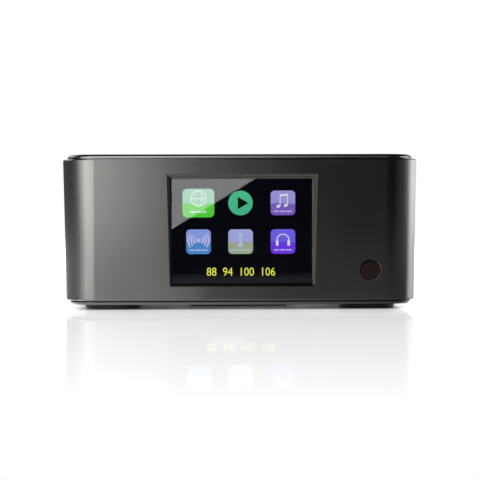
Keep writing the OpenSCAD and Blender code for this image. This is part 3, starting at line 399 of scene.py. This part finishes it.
# back: painted panel, sockets, aerial
panelPaint = makeFinish("panelPaint", {
    "colour": grey(0.022), "fleck": grey(0.034), "worn": grey(0.12), "rough": (0.48, 0.6),
    "grain": 2200.0, "slow": 40.0, "bump": 0.35, "depth": 0.00008, "edge": 0.0002, "wear": 0.5})
dress(panelPaint, "rear_panel")
socketBlack = makeFinish("socketBlack", {
    "colour": grey(0.014), "fleck": grey(0.02), "worn": grey(0.06), "rough": (0.36, 0.5),
    "grain": 2600.0, "slow": 90.0, "bump": 0.15, "edge": 0.0002, "wear": 0.5})
dress(socketBlack, "dc_jack", "headphone_socket", "optical_socket", "line_out_block", "power_switch")
contactNickel = makeFinish("contactNickel", {
    "colour": (0.72, 0.68, 0.58, 1), "fleck": (0.76, 0.72, 0.62, 1), "worn": (0.85, 0.82, 0.74, 1),
    "metal": 1.0, "rough": (0.16, 0.28), "grain": 1800.0, "slow": 200.0, "bump": 0.05,
    "edge": 0.00015, "wear": 0.6})
dress(contactNickel, "dc_pin", "line_out_barrels")
insertWhite = makeFinish("insertWhite", {
    "colour": (0.74, 0.73, 0.69, 1), "fleck": (0.8, 0.79, 0.75, 1), "worn": (0.82, 0.81, 0.78, 1),
    "rough": (0.36, 0.48), "grain": 2600.0})
dress(insertWhite, "line_out_insert_white")
insertRed = makeFinish("insertRed", {
    "colour": (0.42, 0.024, 0.018, 1), "fleck": (0.48, 0.03, 0.022, 1), "worn": (0.55, 0.08, 0.06, 1),
    "rough": (0.36, 0.48), "grain": 2600.0})
dress(insertRed, "line_out_insert_red")
buttonGrey = makeFinish("buttonGrey", {
    "colour": grey(0.10), "fleck": grey(0.12), "worn": grey(0.2), "rough": (0.42, 0.54),
    "grain": 2600.0, "slow": 150.0, "bump": 0.2, "edge": 0.0003, "wear": 0.6})
dress(buttonGrey, "power_button")
aerialChrome = makeFinish("aerialChrome", {
    "colour": (0.74, 0.745, 0.76, 1), "fleck": (0.77, 0.775, 0.79, 1), "worn": (0.85, 0.85, 0.86, 1),
    "metal": 1.0, "rough": (0.07, 0.16), "grain": 1200.0, "slow": 120.0, "bump": 0.02,
    "edge": 0.00012, "wear": 0.5})
dress(aerialChrome, "antenna_bush", "antenna_nut", "antenna_swivel", "antenna_root", "antenna_tip",
      *["antenna_tube_%d" % i for i in range(1, 6)])
pinSteel = makeFinish("pinSteel", {
    "colour": grey(0.42), "fleck": grey(0.5), "worn": grey(0.68), "metal": 1.0, "rough": (0.26, 0.4),
    "grain": 2500.0, "slow": 250.0, "bump": 0.1, "edge": 0.0001, "wear": 0.8})
dress(pinSteel, "antenna_clip", "antenna_pin")
print("back and inside dressed")

# screen contents: lit tiles on the panel's face, in millimetres from the screen's middle
panelLow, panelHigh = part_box("lcd_panel")
screenSet = {
    "middle": ((panelLow.x + panelHigh.x) / 2, (panelLow.z + panelHigh.z) / 2),
    "face": panelLow.y, "tileThick": 0.06 * mm, "signThick": 0.04 * mm,
    "tile": 11.75, "round": 1.9, "discSides": 64, "columns": (-20.8, -0.7, 19.55), "rows": (13.45, -5.0),
    "grid": 0.25, "waves": 420.0, "swell": 0.00025, "fade": 0.008, "splitDrop": 0.3,
    "unlit": 0.004, "unlitRough": 0.3}


def makeScreen(name, look):
    # lit picture with its pixel lines, dark where nothing shows
    material, tree, shader = startMaterial(name)
    axes = objectAxes(tree)
    wave = addMath(tree, "SINE", addMath(tree, "MULTIPLY", axes["X"], screenSet["waves"]))
    wave = addMath(tree, "MULTIPLY", wave, look.get("swell", screenSet["swell"]))
    upper = addMath(tree, "GREATER_THAN", addMath(tree, "SUBTRACT", axes["Z"], wave), look["split"])
    fade = remap(tree, axes["Z"], look["split"] - screenSet["fade"], look["split"] + screenSet["fade"])
    low = mixColour(tree, fade, look["foot"], look["low"])
    high = mixColour(tree, fade, look["high"], look["head"])
    colour = mixColour(tree, upper, low, high)
    grid = addGroup(tree, pixelGroup, Depth=look.get("grid", screenSet["grid"]))
    lit = tree.nodes.new("ShaderNodeVectorMath")
    lit.operation = "SCALE"
    tree.links.new(colour, lit.inputs[0])
    tree.links.new(grid.outputs["Light"], lit.inputs["Scale"])
    tree.links.new(lit.outputs[0], shader.inputs["Emission Color"])
    shader.inputs["Emission Strength"].default_value = 1.0
    shader.inputs["Base Color"].default_value = grey(screenSet["unlit"])
    shader.inputs["Roughness"].default_value = screenSet["unlitRough"]
    shader.inputs["Specular IOR Level"].default_value = 0.0
    return material


def place(u, v):
    # flat shapes are drawn in XY and stood up on the screen
    x, z = screenSet["middle"]
    return Matrix.Translation((x + u * mm, 0, z + v * mm)) @ Matrix.Rotation(math.radians(90), 4, "X")


def addBar(bm, u, v, wide, tall, turn=0.0):
    size = Matrix.Diagonal((wide * mm, tall * mm, 1, 1))
    made = bmesh.ops.create_grid(
        bm, x_segments=1, y_segments=1, size=0.5, matrix=place(u, v) @ Matrix.Rotation(turn, 4, "Z") @ size)
    return made["verts"]


def addRounded(bm, u, v, wide, tall, radius):
    corners = addBar(bm, u, v, wide, tall)
    bmesh.ops.bevel(
        bm, geom=corners, offset=radius * mm, offset_type="OFFSET", affect="VERTICES", segments=8,
        profile=0.5, material=-1)


def addDisc(bm, u, v, radius, sides, squash=1.0, turn=0.0):
    shape = Matrix.Rotation(turn, 4, "Z") @ Matrix.Diagonal((1, squash, 1, 1))
    bmesh.ops.create_circle(
        bm, cap_ends=True, segments=sides, radius=radius * mm, matrix=place(u, v) @ shape)


def addArc(bm, u, v, radius, wide, start, sweep, squash=1.0):
    # a short edge spun round the sign's middle
    spot = place(u, v)
    aim = Vector((math.cos(start), math.sin(start), 0))
    ends = [bm.verts.new(aim * (radius + side * wide / 2) * mm) for side in (-1, 1)]
    edge = bm.edges.new(ends)
    full = abs(sweep - 2 * math.pi) < 0.001
    before = set(bm.verts)
    bmesh.ops.spin(
        bm, geom=ends + [edge], cent=(0, 0, 0), axis=(0, 0, 1), angle=sweep,
        steps=max(8, int(20 * sweep)), use_merge=full, use_duplicate=False)
    moved = [p for p in bm.verts if p not in before] + ends
    bmesh.ops.transform(
        bm, matrix=spot @ Matrix.Diagonal((squash, 1, 1, 1)), verts=[p for p in moved if p.is_valid])


def finishFlat(bm, name, back, thick, material):
    # gives the flat shapes their thickness towards the viewer
    bmesh.ops.remove_doubles(bm, verts=bm.verts[:], dist=1e-7)
    made = bmesh.ops.extrude_face_region(bm, geom=bm.faces[:])
    front = [g for g in made["geom"] if isinstance(g, bmesh.types.BMVert)]
    bmesh.ops.translate(bm, verts=front, vec=(0, -thick, 0))
    bmesh.ops.translate(bm, verts=bm.verts[:], vec=(0, back, 0))
    bmesh.ops.recalc_face_normals(bm, faces=bm.faces[:])
    mesh = bpy.data.meshes.new(name)
    bm.to_mesh(mesh)
    bm.free()
    mesh.materials.append(material)
    piece = bpy.data.objects.new(name, mesh)
    scene.collection.objects.link(piece)
    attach(piece, "chassis")


# the dark panel itself
screenDark = makeScreen("screenDark", {
    "split": screenSet["middle"][1], "swell": 0.0, "grid": 0.3,
    "head": (0.0012, 0.0012, 0.0034, 1), "high": (0.0013, 0.0013, 0.0036, 1),
    "low": (0.0015, 0.0015, 0.0040, 1), "foot": (0.0020, 0.0020, 0.0046, 1)})
dress(screenDark, "lcd_panel")

tileSet = {
    "screen_tile_1": {"at": (0, 0), "wide": 15.2, "tall": 13.7, "round": 2.2,
                      "head": "#9fd6b6", "high": "#97d3a8", "low": "#6fd255", "foot": "#4fd836"},
    "screen_tile_2": {"at": (1, 0), "disc": True,
                      "head": "#50c796", "high": "#4dc492", "low": "#4cc290", "foot": "#4abe8d"},
    "screen_tile_3": {"at": (2, 0), "head": "#a79fe8", "high": "#9c92e0", "low": "#8a68cc", "foot": "#7f5cc6"},
    "screen_tile_4": {"at": (0, 1), "head": "#8fa2ee", "high": "#86a6ea", "low": "#4688cb", "foot": "#5294dc"},
    "screen_tile_5": {"at": (1, 1), "head": "#aeb2ee", "high": "#9fb0dd", "low": "#9aab86", "foot": "#a8bc99"},
    "screen_tile_6": {"at": (2, 1), "head": "#7569f2", "high": "#6c5cec", "low": "#683ee6", "foot": "#763cf0"}}


def tileMiddle(column, row):
    return screenSet["columns"][column], screenSet["rows"][row]


for name, look in tileSet.items():
    u, v = tileMiddle(*look["at"])
    bm = bmesh.new()
    if look.get("disc"):
        addDisc(bm, u, v, screenSet["tile"] / 2, screenSet["discSides"])
    else:
        addRounded(bm, u, v, look.get("wide", screenSet["tile"]), look.get("tall", screenSet["tile"]),
                   look.get("round", screenSet["round"]))
    lit = makeScreen(name + "_lit", {
        "split": screenSet["middle"][1] + (v - screenSet["splitDrop"]) * mm,
        **{part: tone(look[part]) for part in ("head", "high", "low", "foot")}})
    finishFlat(bm, name, screenSet["face"], screenSet["tileThick"], lit)
print("screen tiles placed")

# signs on the tiles: "at" is the tile's column and row, lengths are millimetres from the tile's middle
signFace = screenSet["face"] - screenSet["tileThick"]
signSet = {"pale": "#e6ecf0", "lilac": "#c9c6f2", "dark": "#06120d", "yellow": "#fffb5c"}


def finishSign(bm, name, colour, back=signFace):
    # one plain colour for all the signs of a set
    lit = makeScreen("sign" + colour.capitalize(), {
        "split": screenSet["middle"][1],
        **{part: tone(signSet[colour]) for part in ("head", "high", "low", "foot")}})
    finishFlat(bm, name, back, screenSet["signThick"], lit)


def addWords(bm, u, v, look):
    # short bars where words would stand
    for shift, wide in look["bars"]:
        addBar(bm, u + shift, v + look["up"], wide, look["tall"])


dotSides = 24
paleSigns = bmesh.new()
globeSet = {
    "at": (0, 0), "up": 2.2, "radius": 3.6, "line": 0.45, "inner": 0.6, "squash": 0.45, "equator": 7.0,
    "words": {"bars": ((-2.6, 2.4), (0.4, 2.6), (2.9, 1.6)), "up": -4.2, "tall": 0.8}}
u, v = tileMiddle(*globeSet["at"])
middle = (u, v + globeSet["up"])
addArc(paleSigns, *middle, globeSet["radius"], globeSet["line"], 0, 2 * math.pi)
addArc(paleSigns, *middle, globeSet["radius"], globeSet["inner"], 0, 2 * math.pi, squash=globeSet["squash"])
addBar(paleSigns, *middle, globeSet["equator"], globeSet["line"])
addWords(paleSigns, u, v, globeSet["words"])
noteSet = {
    "at": (2, 0), "columns": (-1.6, 1.9), "head": 1.0, "headAt": (-0.55, -1.4), "headClimb": 0.12,
    "squash": 0.72, "lean": 0.4, "stem": (0.4, 5.2), "stemAt": (0.3, 1.2), "stemClimb": 0.1,
    "beam": (3.9, 0.95), "beamAt": (0.45, 3.75), "beamTurn": 0.1}
u, v = tileMiddle(*noteSet["at"])
for shift in noteSet["columns"]:
    right, up = noteSet["headAt"]
    addDisc(paleSigns, u + shift + right, v + up + noteSet["headClimb"] * shift, noteSet["head"],
            sides=dotSides, squash=noteSet["squash"], turn=noteSet["lean"])
    right, up = noteSet["stemAt"]
    addBar(paleSigns, u + shift + right, v + up + noteSet["stemClimb"] * shift, *noteSet["stem"])
right, up = noteSet["beamAt"]
addBar(paleSigns, u + right, v + up, *noteSet["beam"], turn=noteSet["beamTurn"])
phonesSet = {"at": (2, 1), "up": 0.6, "radius": 2.9, "band": 0.5, "cup": (1.3, 2.6, 0.4), "cupAt": (2.75, -0.7)}
u, v = tileMiddle(*phonesSet["at"])
addArc(paleSigns, u, v + phonesSet["up"], phonesSet["radius"], phonesSet["band"], 0.0, math.pi)
right, up = phonesSet["cupAt"]
for side in (-1, 1):
    addRounded(paleSigns, u + side * right, v + up, *phonesSet["cup"])
finishSign(paleSigns, "screen_signs_pale", "pale")

lilacSigns = bmesh.new()
wavesSet = {"at": (0, 1), "up": 0.6, "dot": 0.85, "radii": (2.1, 3.5, 4.9), "line": 0.75, "half": 0.7}
u, v = tileMiddle(*wavesSet["at"])
addDisc(lilacSigns, u, v + wavesSet["up"], wavesSet["dot"], sides=dotSides)
for radius in wavesSet["radii"]:
    for start in (-wavesSet["half"], math.pi - wavesSet["half"]):
        addArc(lilacSigns, u, v + wavesSet["up"], radius, wavesSet["line"], start, 2 * wavesSet["half"])
# each part of the mast starts with its height above the tile's middle
mastSet = {
    "at": (1, 1), "pole": (0.4, 0.8, 5.0), "knob": (3.2, 1.0, dotSides), "foot": (-2.0, 3.0, 0.7),
    "block": (-1.2, 1.9, 1.3, 0.3)}
u, v = tileMiddle(*mastSet["at"])
for label, draw in (("pole", addBar), ("knob", addDisc), ("foot", addBar), ("block", addRounded)):
    up, *sizes = mastSet[label]
    draw(lilacSigns, u, v + up, *sizes)
wordsSet = {
    "tiles": ((2, 0), (0, 1), (1, 1), (2, 1)), "bars": ((-3.2, 2.2), (-0.3, 2.6), (2.9, 2.8)), "up": -4.0,
    "tall": 0.6}
for column, row in wordsSet["tiles"]:
    addWords(lilacSigns, *tileMiddle(column, row), wordsSet)
finishSign(lilacSigns, "screen_signs_lilac", "lilac")

playSign = bmesh.new()
playSet = {"at": (1, 0), "right": 0.4, "radius": 3.4, "turn": -90}
u, v = tileMiddle(*playSet["at"])
addDisc(playSign, u + playSet["right"], v, playSet["radius"], sides=3, turn=math.radians(playSet["turn"]))
finishSign(playSign, "screen_sign_play", "dark")

# plain yellow numbers under the tiles
numberSet = {"text": "88  94  100  106", "tall": 3.9, "wide": 32.7, "at": (-0.55, -19.35), "curveSteps": 4}
numberText = bpy.data.curves.new("screenNumbers", "FONT")
numberText.body = numberSet["text"]
numberText.align_x = "CENTER"
numberText.align_y = "CENTER"
numberText.resolution_u = numberSet["curveSteps"]
textObject = bpy.data.objects.new("screenNumbersText", numberText)
scene.collection.objects.link(textObject)
bpy.context.view_layer.update()
textShape = textObject.evaluated_get(bpy.context.evaluated_depsgraph_get())
numberMesh = bpy.data.meshes.new_from_object(textShape)
bpy.data.objects.remove(textObject)
bm = bmesh.new()
bm.from_mesh(numberMesh)
bpy.data.meshes.remove(numberMesh)
xs = [p.co.x for p in bm.verts]
ys = [p.co.y for p in bm.verts]
middle = Vector(((min(xs) + max(xs)) / 2, (min(ys) + max(ys)) / 2, 0))
size = (numberSet["wide"] * mm / (max(xs) - min(xs)), numberSet["tall"] * mm / (max(ys) - min(ys)))
bmesh.ops.translate(bm, verts=bm.verts[:], vec=-middle)
bmesh.ops.transform(
    bm, matrix=place(*numberSet["at"]) @ Matrix.Diagonal((size[0], size[1], 1, 1)), verts=bm.verts[:])
finishSign(bm, "screen_numbers", "yellow", screenSet["face"])
print("screen signs placed")


# floor: white, with a faint mirror image that fades away from the part
# pairs of numbers are where an effect starts and ends, in metres from the part or along an axis
floorSet = {
    "half": 1.3, "front": -0.49, "back": 1.9, "foot": (0.068, 0.050), "rough": 0.9,
    "colour": 0.86, "shade": 0.5, "fore": (-0.49, -0.3), "left": (-0.1, -0.13),
    "shadeRight": (0.02, 0.06), "shadeLeft": (0.12, 0.6), "recessShadow": (0.0266, -0.0305, 0.0175),
    "near": 0.86, "nearReach": (0.0, 0.011), "contact": (0.0035, 0.0155), "far": 0.5, "farReach": (0.2, 0.8),
    "skirt": -0.23, "skirtReach": (0.016, 0.07), "under": (0.014, 0.011, 0.009, 1), "underReach": (0.0, 0.012),
    "slope": (-0.068, 0.072, 2.35, 0.15), "slopeReach": (0.015, 0.03),
    "lowAngle": (0.6, 0.83), "steepGlow": 0.6, "steepMirror": 0.1,
    "mirror": 0.42, "mirrorReach": 0.7, "mirrorRough": 0.004, "nearMirror": 0.6, "nearMirrorReach": (0.2, 0.4),
    "right": (0.1, 0.16), "rightFore": (-0.2, -0.05), "rightMirror": 0.7}


def makeFloor(name, look):
    material, tree, shader = startMaterial(name)
    out = tree.nodes["Material Output"]
    shader.inputs["Roughness"].default_value = look["rough"]
    shader.inputs["Specular IOR Level"].default_value = 0.0
    axes = objectAxes(tree)
    # distance from the part's footprint
    beyond = []
    for axis, half in zip(("X", "Y"), look["foot"]):
        away = addMath(tree, "SUBTRACT", addMath(tree, "ABSOLUTE", axes[axis]), half)
        away = addMath(tree, "MAXIMUM", away, 0.0)
        beyond.append(addMath(tree, "MULTIPLY", away, away))
    away = addMath(tree, "SQRT", addMath(tree, "ADD", beyond[0], beyond[1]))

    def fade(label, low=0.0, high=1.0):
        return remap(tree, away, *look[label], low, high, smooth=True)

    def along(axis, label, high=1.0):
        return remap(tree, axes[axis], *look[label], 0.0, high)

    path = tree.nodes.new("ShaderNodeLightPath")
    glossy, seen = path.outputs["Is Glossy Ray"], path.outputs["Is Camera Ray"]
    facing = tree.nodes.new("ShaderNodeLayerWeight").outputs["Facing"]
    # reflections see the table darker, away from the part
    distant = mixColour(tree, along("X", "left"), fade("shadeRight"), fade("shadeLeft"))
    shaded = addMath(tree, "MULTIPLY", addMath(tree, "SUBTRACT", 1.0, seen), distant)
    colour = mixColour(tree, shaded, grey(look["colour"]), along("Y", "fore", look["shade"]))
    # painted shadow: a dark patch on the floor below the recess in the base
    half, low, high = look["recessShadow"]
    recessShadow = addMath(tree, "LESS_THAN", addMath(tree, "ABSOLUTE", axes["X"]), half)
    for test, edge in (("GREATER_THAN", low), ("LESS_THAN", high)):
        recessShadow = addMath(tree, "MULTIPLY", recessShadow, addMath(tree, test, axes["Y"], edge))
    tree.links.new(mixColour(tree, recessShadow, colour, grey(0.0)), shader.inputs["Base Color"])
    # the camera sees it whiter with distance: this glow leaves a painted contact shade close round the part, on
    # top of its real shadow
    lift = mixColour(tree, seen, fade("nearReach", high=look["near"]), fade("contact", high=look["near"]))
    lift = addMath(tree, "ADD", lift, fade("farReach", high=look["far"]))
    lift = addMath(tree, "ADD", lift, fade("skirtReach", high=look["skirt"]))
    # painted bounce light: a faint warm glow on the floor under the part, left out below the recess
    glow = mixColour(tree, fade("underReach"), look["under"], grey(0.0))
    glow = mixColour(tree, recessShadow, glow, grey(0.0))
    plus = mixColour(tree, 1.0, glow, lift)
    plus.node.blend_type = "ADD"
    tree.links.new(plus, shader.inputs["Emission Color"])
    # right at the part its reflections are brighter on the left
    slope = remap(tree, axes["X"], *look["slope"])
    slope = mixColour(tree, fade("slopeReach"), slope, grey(1.0))
    close = addMath(tree, "SUBTRACT", glossy, shaded, clamp=True)
    close = addMath(tree, "MULTIPLY", close, slope)
    direct = remap(tree, facing, *look["lowAngle"], look["steepGlow"])
    direct = addMath(tree, "MULTIPLY", seen, direct)
    tree.links.new(addMath(tree, "MAXIMUM", direct, close), shader.inputs["Emission Strength"])
    # the mirror image shows at low angles only
    mirror = tree.nodes.new("ShaderNodeBsdfGlossy")
    mirror.inputs["Roughness"].default_value = look["mirrorRough"]
    share = remap(tree, away, 0.0, look["mirrorReach"], look["mirror"], 0.0)
    share = addMath(tree, "MULTIPLY", share, remap(tree, facing, *look["lowAngle"], look["steepMirror"]))
    right = addMath(tree, "MULTIPLY", along("X", "right", look["rightMirror"]), along("Y", "rightFore"))
    bounce = addMath(tree, "MAXIMUM", fade("nearMirrorReach", look["nearMirror"], 0.0), right)
    bounce = addMath(tree, "MULTIPLY", glossy, bounce)
    both = tree.nodes.new("ShaderNodeMixShader")
    tree.links.new(addMath(tree, "MAXIMUM", share, bounce), both.inputs[0])
    tree.links.new(shader.outputs[0], both.inputs[1])
    tree.links.new(mirror.outputs[0], both.inputs[2])
    tree.links.new(both.outputs[0], out.inputs["Surface"])
    return material


bm = bmesh.new()
deep = (floorSet["back"] - floorSet["front"]) / 2
table = Matrix.Translation((0, floorSet["front"] + deep, 0)) @ Matrix.Diagonal((floorSet["half"], deep, 1, 1))
bmesh.ops.create_grid(bm, x_segments=1, y_segments=1, size=1.0, matrix=table)
floorMesh = bpy.data.meshes.new("studioFloor")
bm.to_mesh(floorMesh)
bm.free()
floorMesh.materials.append(makeFloor("floorWhite", floorSet))
floorObject = bpy.data.objects.new("studioFloor", floorMesh)
scene.collection.objects.link(floorObject)

# world: white behind the part, dark studio elsewhere in reflections
worldSet = {
    "ambient": 0.05, "dark": 0.004, "white": 1.0, "back": ("Y", 0.2, 0.5), "low": ("Z", 0.2, 0.13),
    "right": ("X", -0.28, -0.18)}
world = bpy.data.worlds.new("studioWorld")
scene.world = world
world.use_nodes = True
tree = world.node_tree
tree.nodes.clear()
out = tree.nodes.new("ShaderNodeOutputWorld")
background = tree.nodes.new("ShaderNodeBackground")
tree.links.new(background.outputs[0], out.inputs["Surface"])
coords = tree.nodes.new("ShaderNodeTexCoord")
split = tree.nodes.new("ShaderNodeSeparateXYZ")
tree.links.new(coords.outputs["Generated"], split.inputs[0])
whiteShare = 1.0
for label in ("back", "low", "right"):
    axis, start, end = worldSet[label]
    whiteShare = addMath(tree, "MULTIPLY", remap(tree, split.outputs[axis], start, end), whiteShare)
path = tree.nodes.new("ShaderNodeLightPath")
mirrored = mixColour(tree, whiteShare, grey(worldSet["dark"]), grey(worldSet["white"]))
bent = addMath(tree, "MAXIMUM", path.outputs["Is Glossy Ray"], path.outputs["Is Transmission Ray"])
level = mixColour(tree, bent, grey(worldSet["ambient"]), mirrored)
level = mixColour(tree, path.outputs["Is Camera Ray"], level, grey(worldSet["white"]))
tree.links.new(level, background.inputs["Color"])

# lamps: the level is the brightness that a mirror of the lamp shows
coverOnly, shellOnly = ("top_cover",), ("body_shell",)
lampSet = {
    "topBox": {"place": (-0.6, 0.35, 1.2), "aim": (-0.6, 0.35, 0.0), "wide": 1.0, "tall": 0.6,
               "level": 5.0, "spares": coverOnly + shellOnly},
    "hoodBox": {"place": (-0.78, -0.777, 1.094), "aim": (-0.78, -0.06, 0.07), "wide": 1.5, "tall": 1.27,
                "level": 3.9, "only": coverOnly},
    "hoodShell": {"place": (-0.23, -0.1, 1.2), "aim": (-0.23, -0.1, 0.0), "wide": 0.34, "tall": 0.5,
                  "level": 1.7, "only": shellOnly},
    "hoodSide": {"place": (0.045, -0.777, 1.094), "aim": (0.045, -0.06, 0.07), "wide": 0.15, "tall": 1.27,
                 "level": 1.1, "only": coverOnly},
    "hoodRight": {"place": (1.2, 0.1, 0.72), "aim": (0.08, -0.05, 0.07), "wide": 0.6, "tall": 0.5,
                  "level": 5.0, "only": coverOnly},
    "foreBox": {"place": (0.85, -0.95, 0.5), "aim": (0, 0, 0.07), "wide": 1.6, "tall": 0.7,
                "level": 0.5, "only": coverOnly},
    "lowStrip": {"place": (-0.093, -1.357, -0.145), "aim": (0, -0.06, -0.145), "wide": 0.073, "tall": 0.25,
                 "level": 1.2, "only": shellOnly},
    "backBox": {"place": (-1.05, 1.3, 1.1), "aim": (0, 0, 0.03), "wide": 0.9, "tall": 0.7, "level": 2.0}}
# softboxes bowed round the part, in strips: degrees from the front, and the level
bowSet = {"reach": 1.3, "height": 0.32, "tall": 1.1}
bows = {
    "keyStrip": {"side": -1, "aim": (0, -0.06), "strips": (
        (5.7, 12, 2.5), (12, 20, 3.0), (20, 30, 3.6), (30, 40, 3.8), (40, 50, 3.0), (50, 60, 1.9),
        (60, 66, 1.0), (66, 75, 0.55), (75, 85, 0.27), (85, 150, 0.16))},
    "rimStrip": {"side": 1, "aim": (0.07, -0.05), "spares": ("display_bezel",), "strips": (
        (93, 98, 1.75), (98, 104, 2.5), (104, 111, 3.0), (111, 118, 2.9), (118, 125, 2.4), (125, 134, 1.7),
        (134, 145, 1.0), (145, 160, 0.5), (160, 176, 0.3))},
    "sideStrip": {"side": 1, "aim": (0.07, -0.05), "only": shellOnly, "strips": (
        (38, 46, 0.06), (46, 56, 0.1), (56, 66, 0.15), (66, 74, 0.22), (74, 81, 0.34), (81, 87, 0.66),
        (87, 93, 1.1))}}


def addLamp(name, look, turn=None):
    lamp = bpy.data.lights.new(name, "AREA")
    lamp.shape = "RECTANGLE"
    lamp.size = look["wide"]
    lamp.size_y = look["tall"]
    lamp.energy = look["level"] * math.pi * look["wide"] * look["tall"]
    lampObject = bpy.data.objects.new(name, lamp)
    lampObject.location = look["place"]
    lampObject.visible_camera = False
    if turn is None:
        turn = (Vector(look["aim"]) - Vector(look["place"])).to_track_quat("-Z", "Y").to_euler()
    lampObject.rotation_euler = turn
    scene.collection.objects.link(lampObject)
    # flags: a lamp may light some pieces only, or spare some
    flagged = look.get("only") or look.get("spares")
    if flagged:
        lit = bpy.data.collections.new(name + "Lit")
        for piece in flagged:
            lit.objects.link(cadNodes[piece])
        if look.get("spares"):
            for member in lit.collection_objects:
                member.light_linking.link_state = "EXCLUDE"
        lampObject.light_linking.receiver_collection = lit


def addBow(name, look):
    aimX, aimY = look["aim"]
    for index, (start, end, level) in enumerate(look["strips"]):
        middle, half = math.radians((start + end) / 2), math.radians((end - start) / 2)
        x = aimX + look["side"] * bowSet["reach"] * math.sin(middle)
        y = aimY - bowSet["reach"] * math.cos(middle)
        addLamp("%s%d" % (name, index), {
            "place": (x, y, bowSet["height"]), "aim": (aimX, aimY, bowSet["height"]),
            "wide": 2 * bowSet["reach"] * math.tan(half), "tall": bowSet["tall"], "level": level,
            "only": look.get("only"), "spares": look.get("spares")})


for name, look in lampSet.items():
    addLamp(name, look)
# light thrown back by the table: under the part in strips from left to right, and before its front
bounceSet = {"left": -0.0785, "wide": 0.0275, "tall": 0.1, "height": 0.0006,
             "levels": (0.26, 0.26, 0.28, 0.32, 0.42, 0.5)}
faceUp = (math.pi, 0, 0)
for index, level in enumerate(bounceSet["levels"]):
    middle = bounceSet["left"] + (index + 0.5) * bounceSet["wide"]
    addLamp("bounceCard%d" % index, {
        **bounceSet, "place": (middle, 0.0, bounceSet["height"]), "level": level}, faceUp)
tableSet = {"place": (-0.037, -0.255, 0.0008), "wide": 0.035, "tall": 0.33, "level": 0.32, "only": shellOnly}
addLamp("tableCard", tableSet, faceUp)
for name, look in bows.items():
    addBow(name, look)

# tilted box beside the camera: its slanting edge shows in the display glass
glareSet = {
    "edgeRight": (0.045, -1.461, 0.0921), "slant": 30.9, "past": 0.01, "wide": 0.16, "tall": 0.07,
    "level": 2.5, "only": ("display_glass",)}
slant = math.radians(glareSet["slant"])
along = Vector((-math.cos(slant), 0, -math.sin(slant)))
rise = Vector((-math.sin(slant), 0, math.cos(slant)))
corner = Vector(glareSet["edgeRight"]) - along * glareSet["past"]
centre = corner + along * glareSet["wide"] / 2 + rise * glareSet["tall"] / 2
turn = Matrix((-along, rise, Vector((0, -1, 0)))).transposed().to_euler()
addLamp("glareBox", {**glareSet, "place": centre}, turn)
print("stage lit")
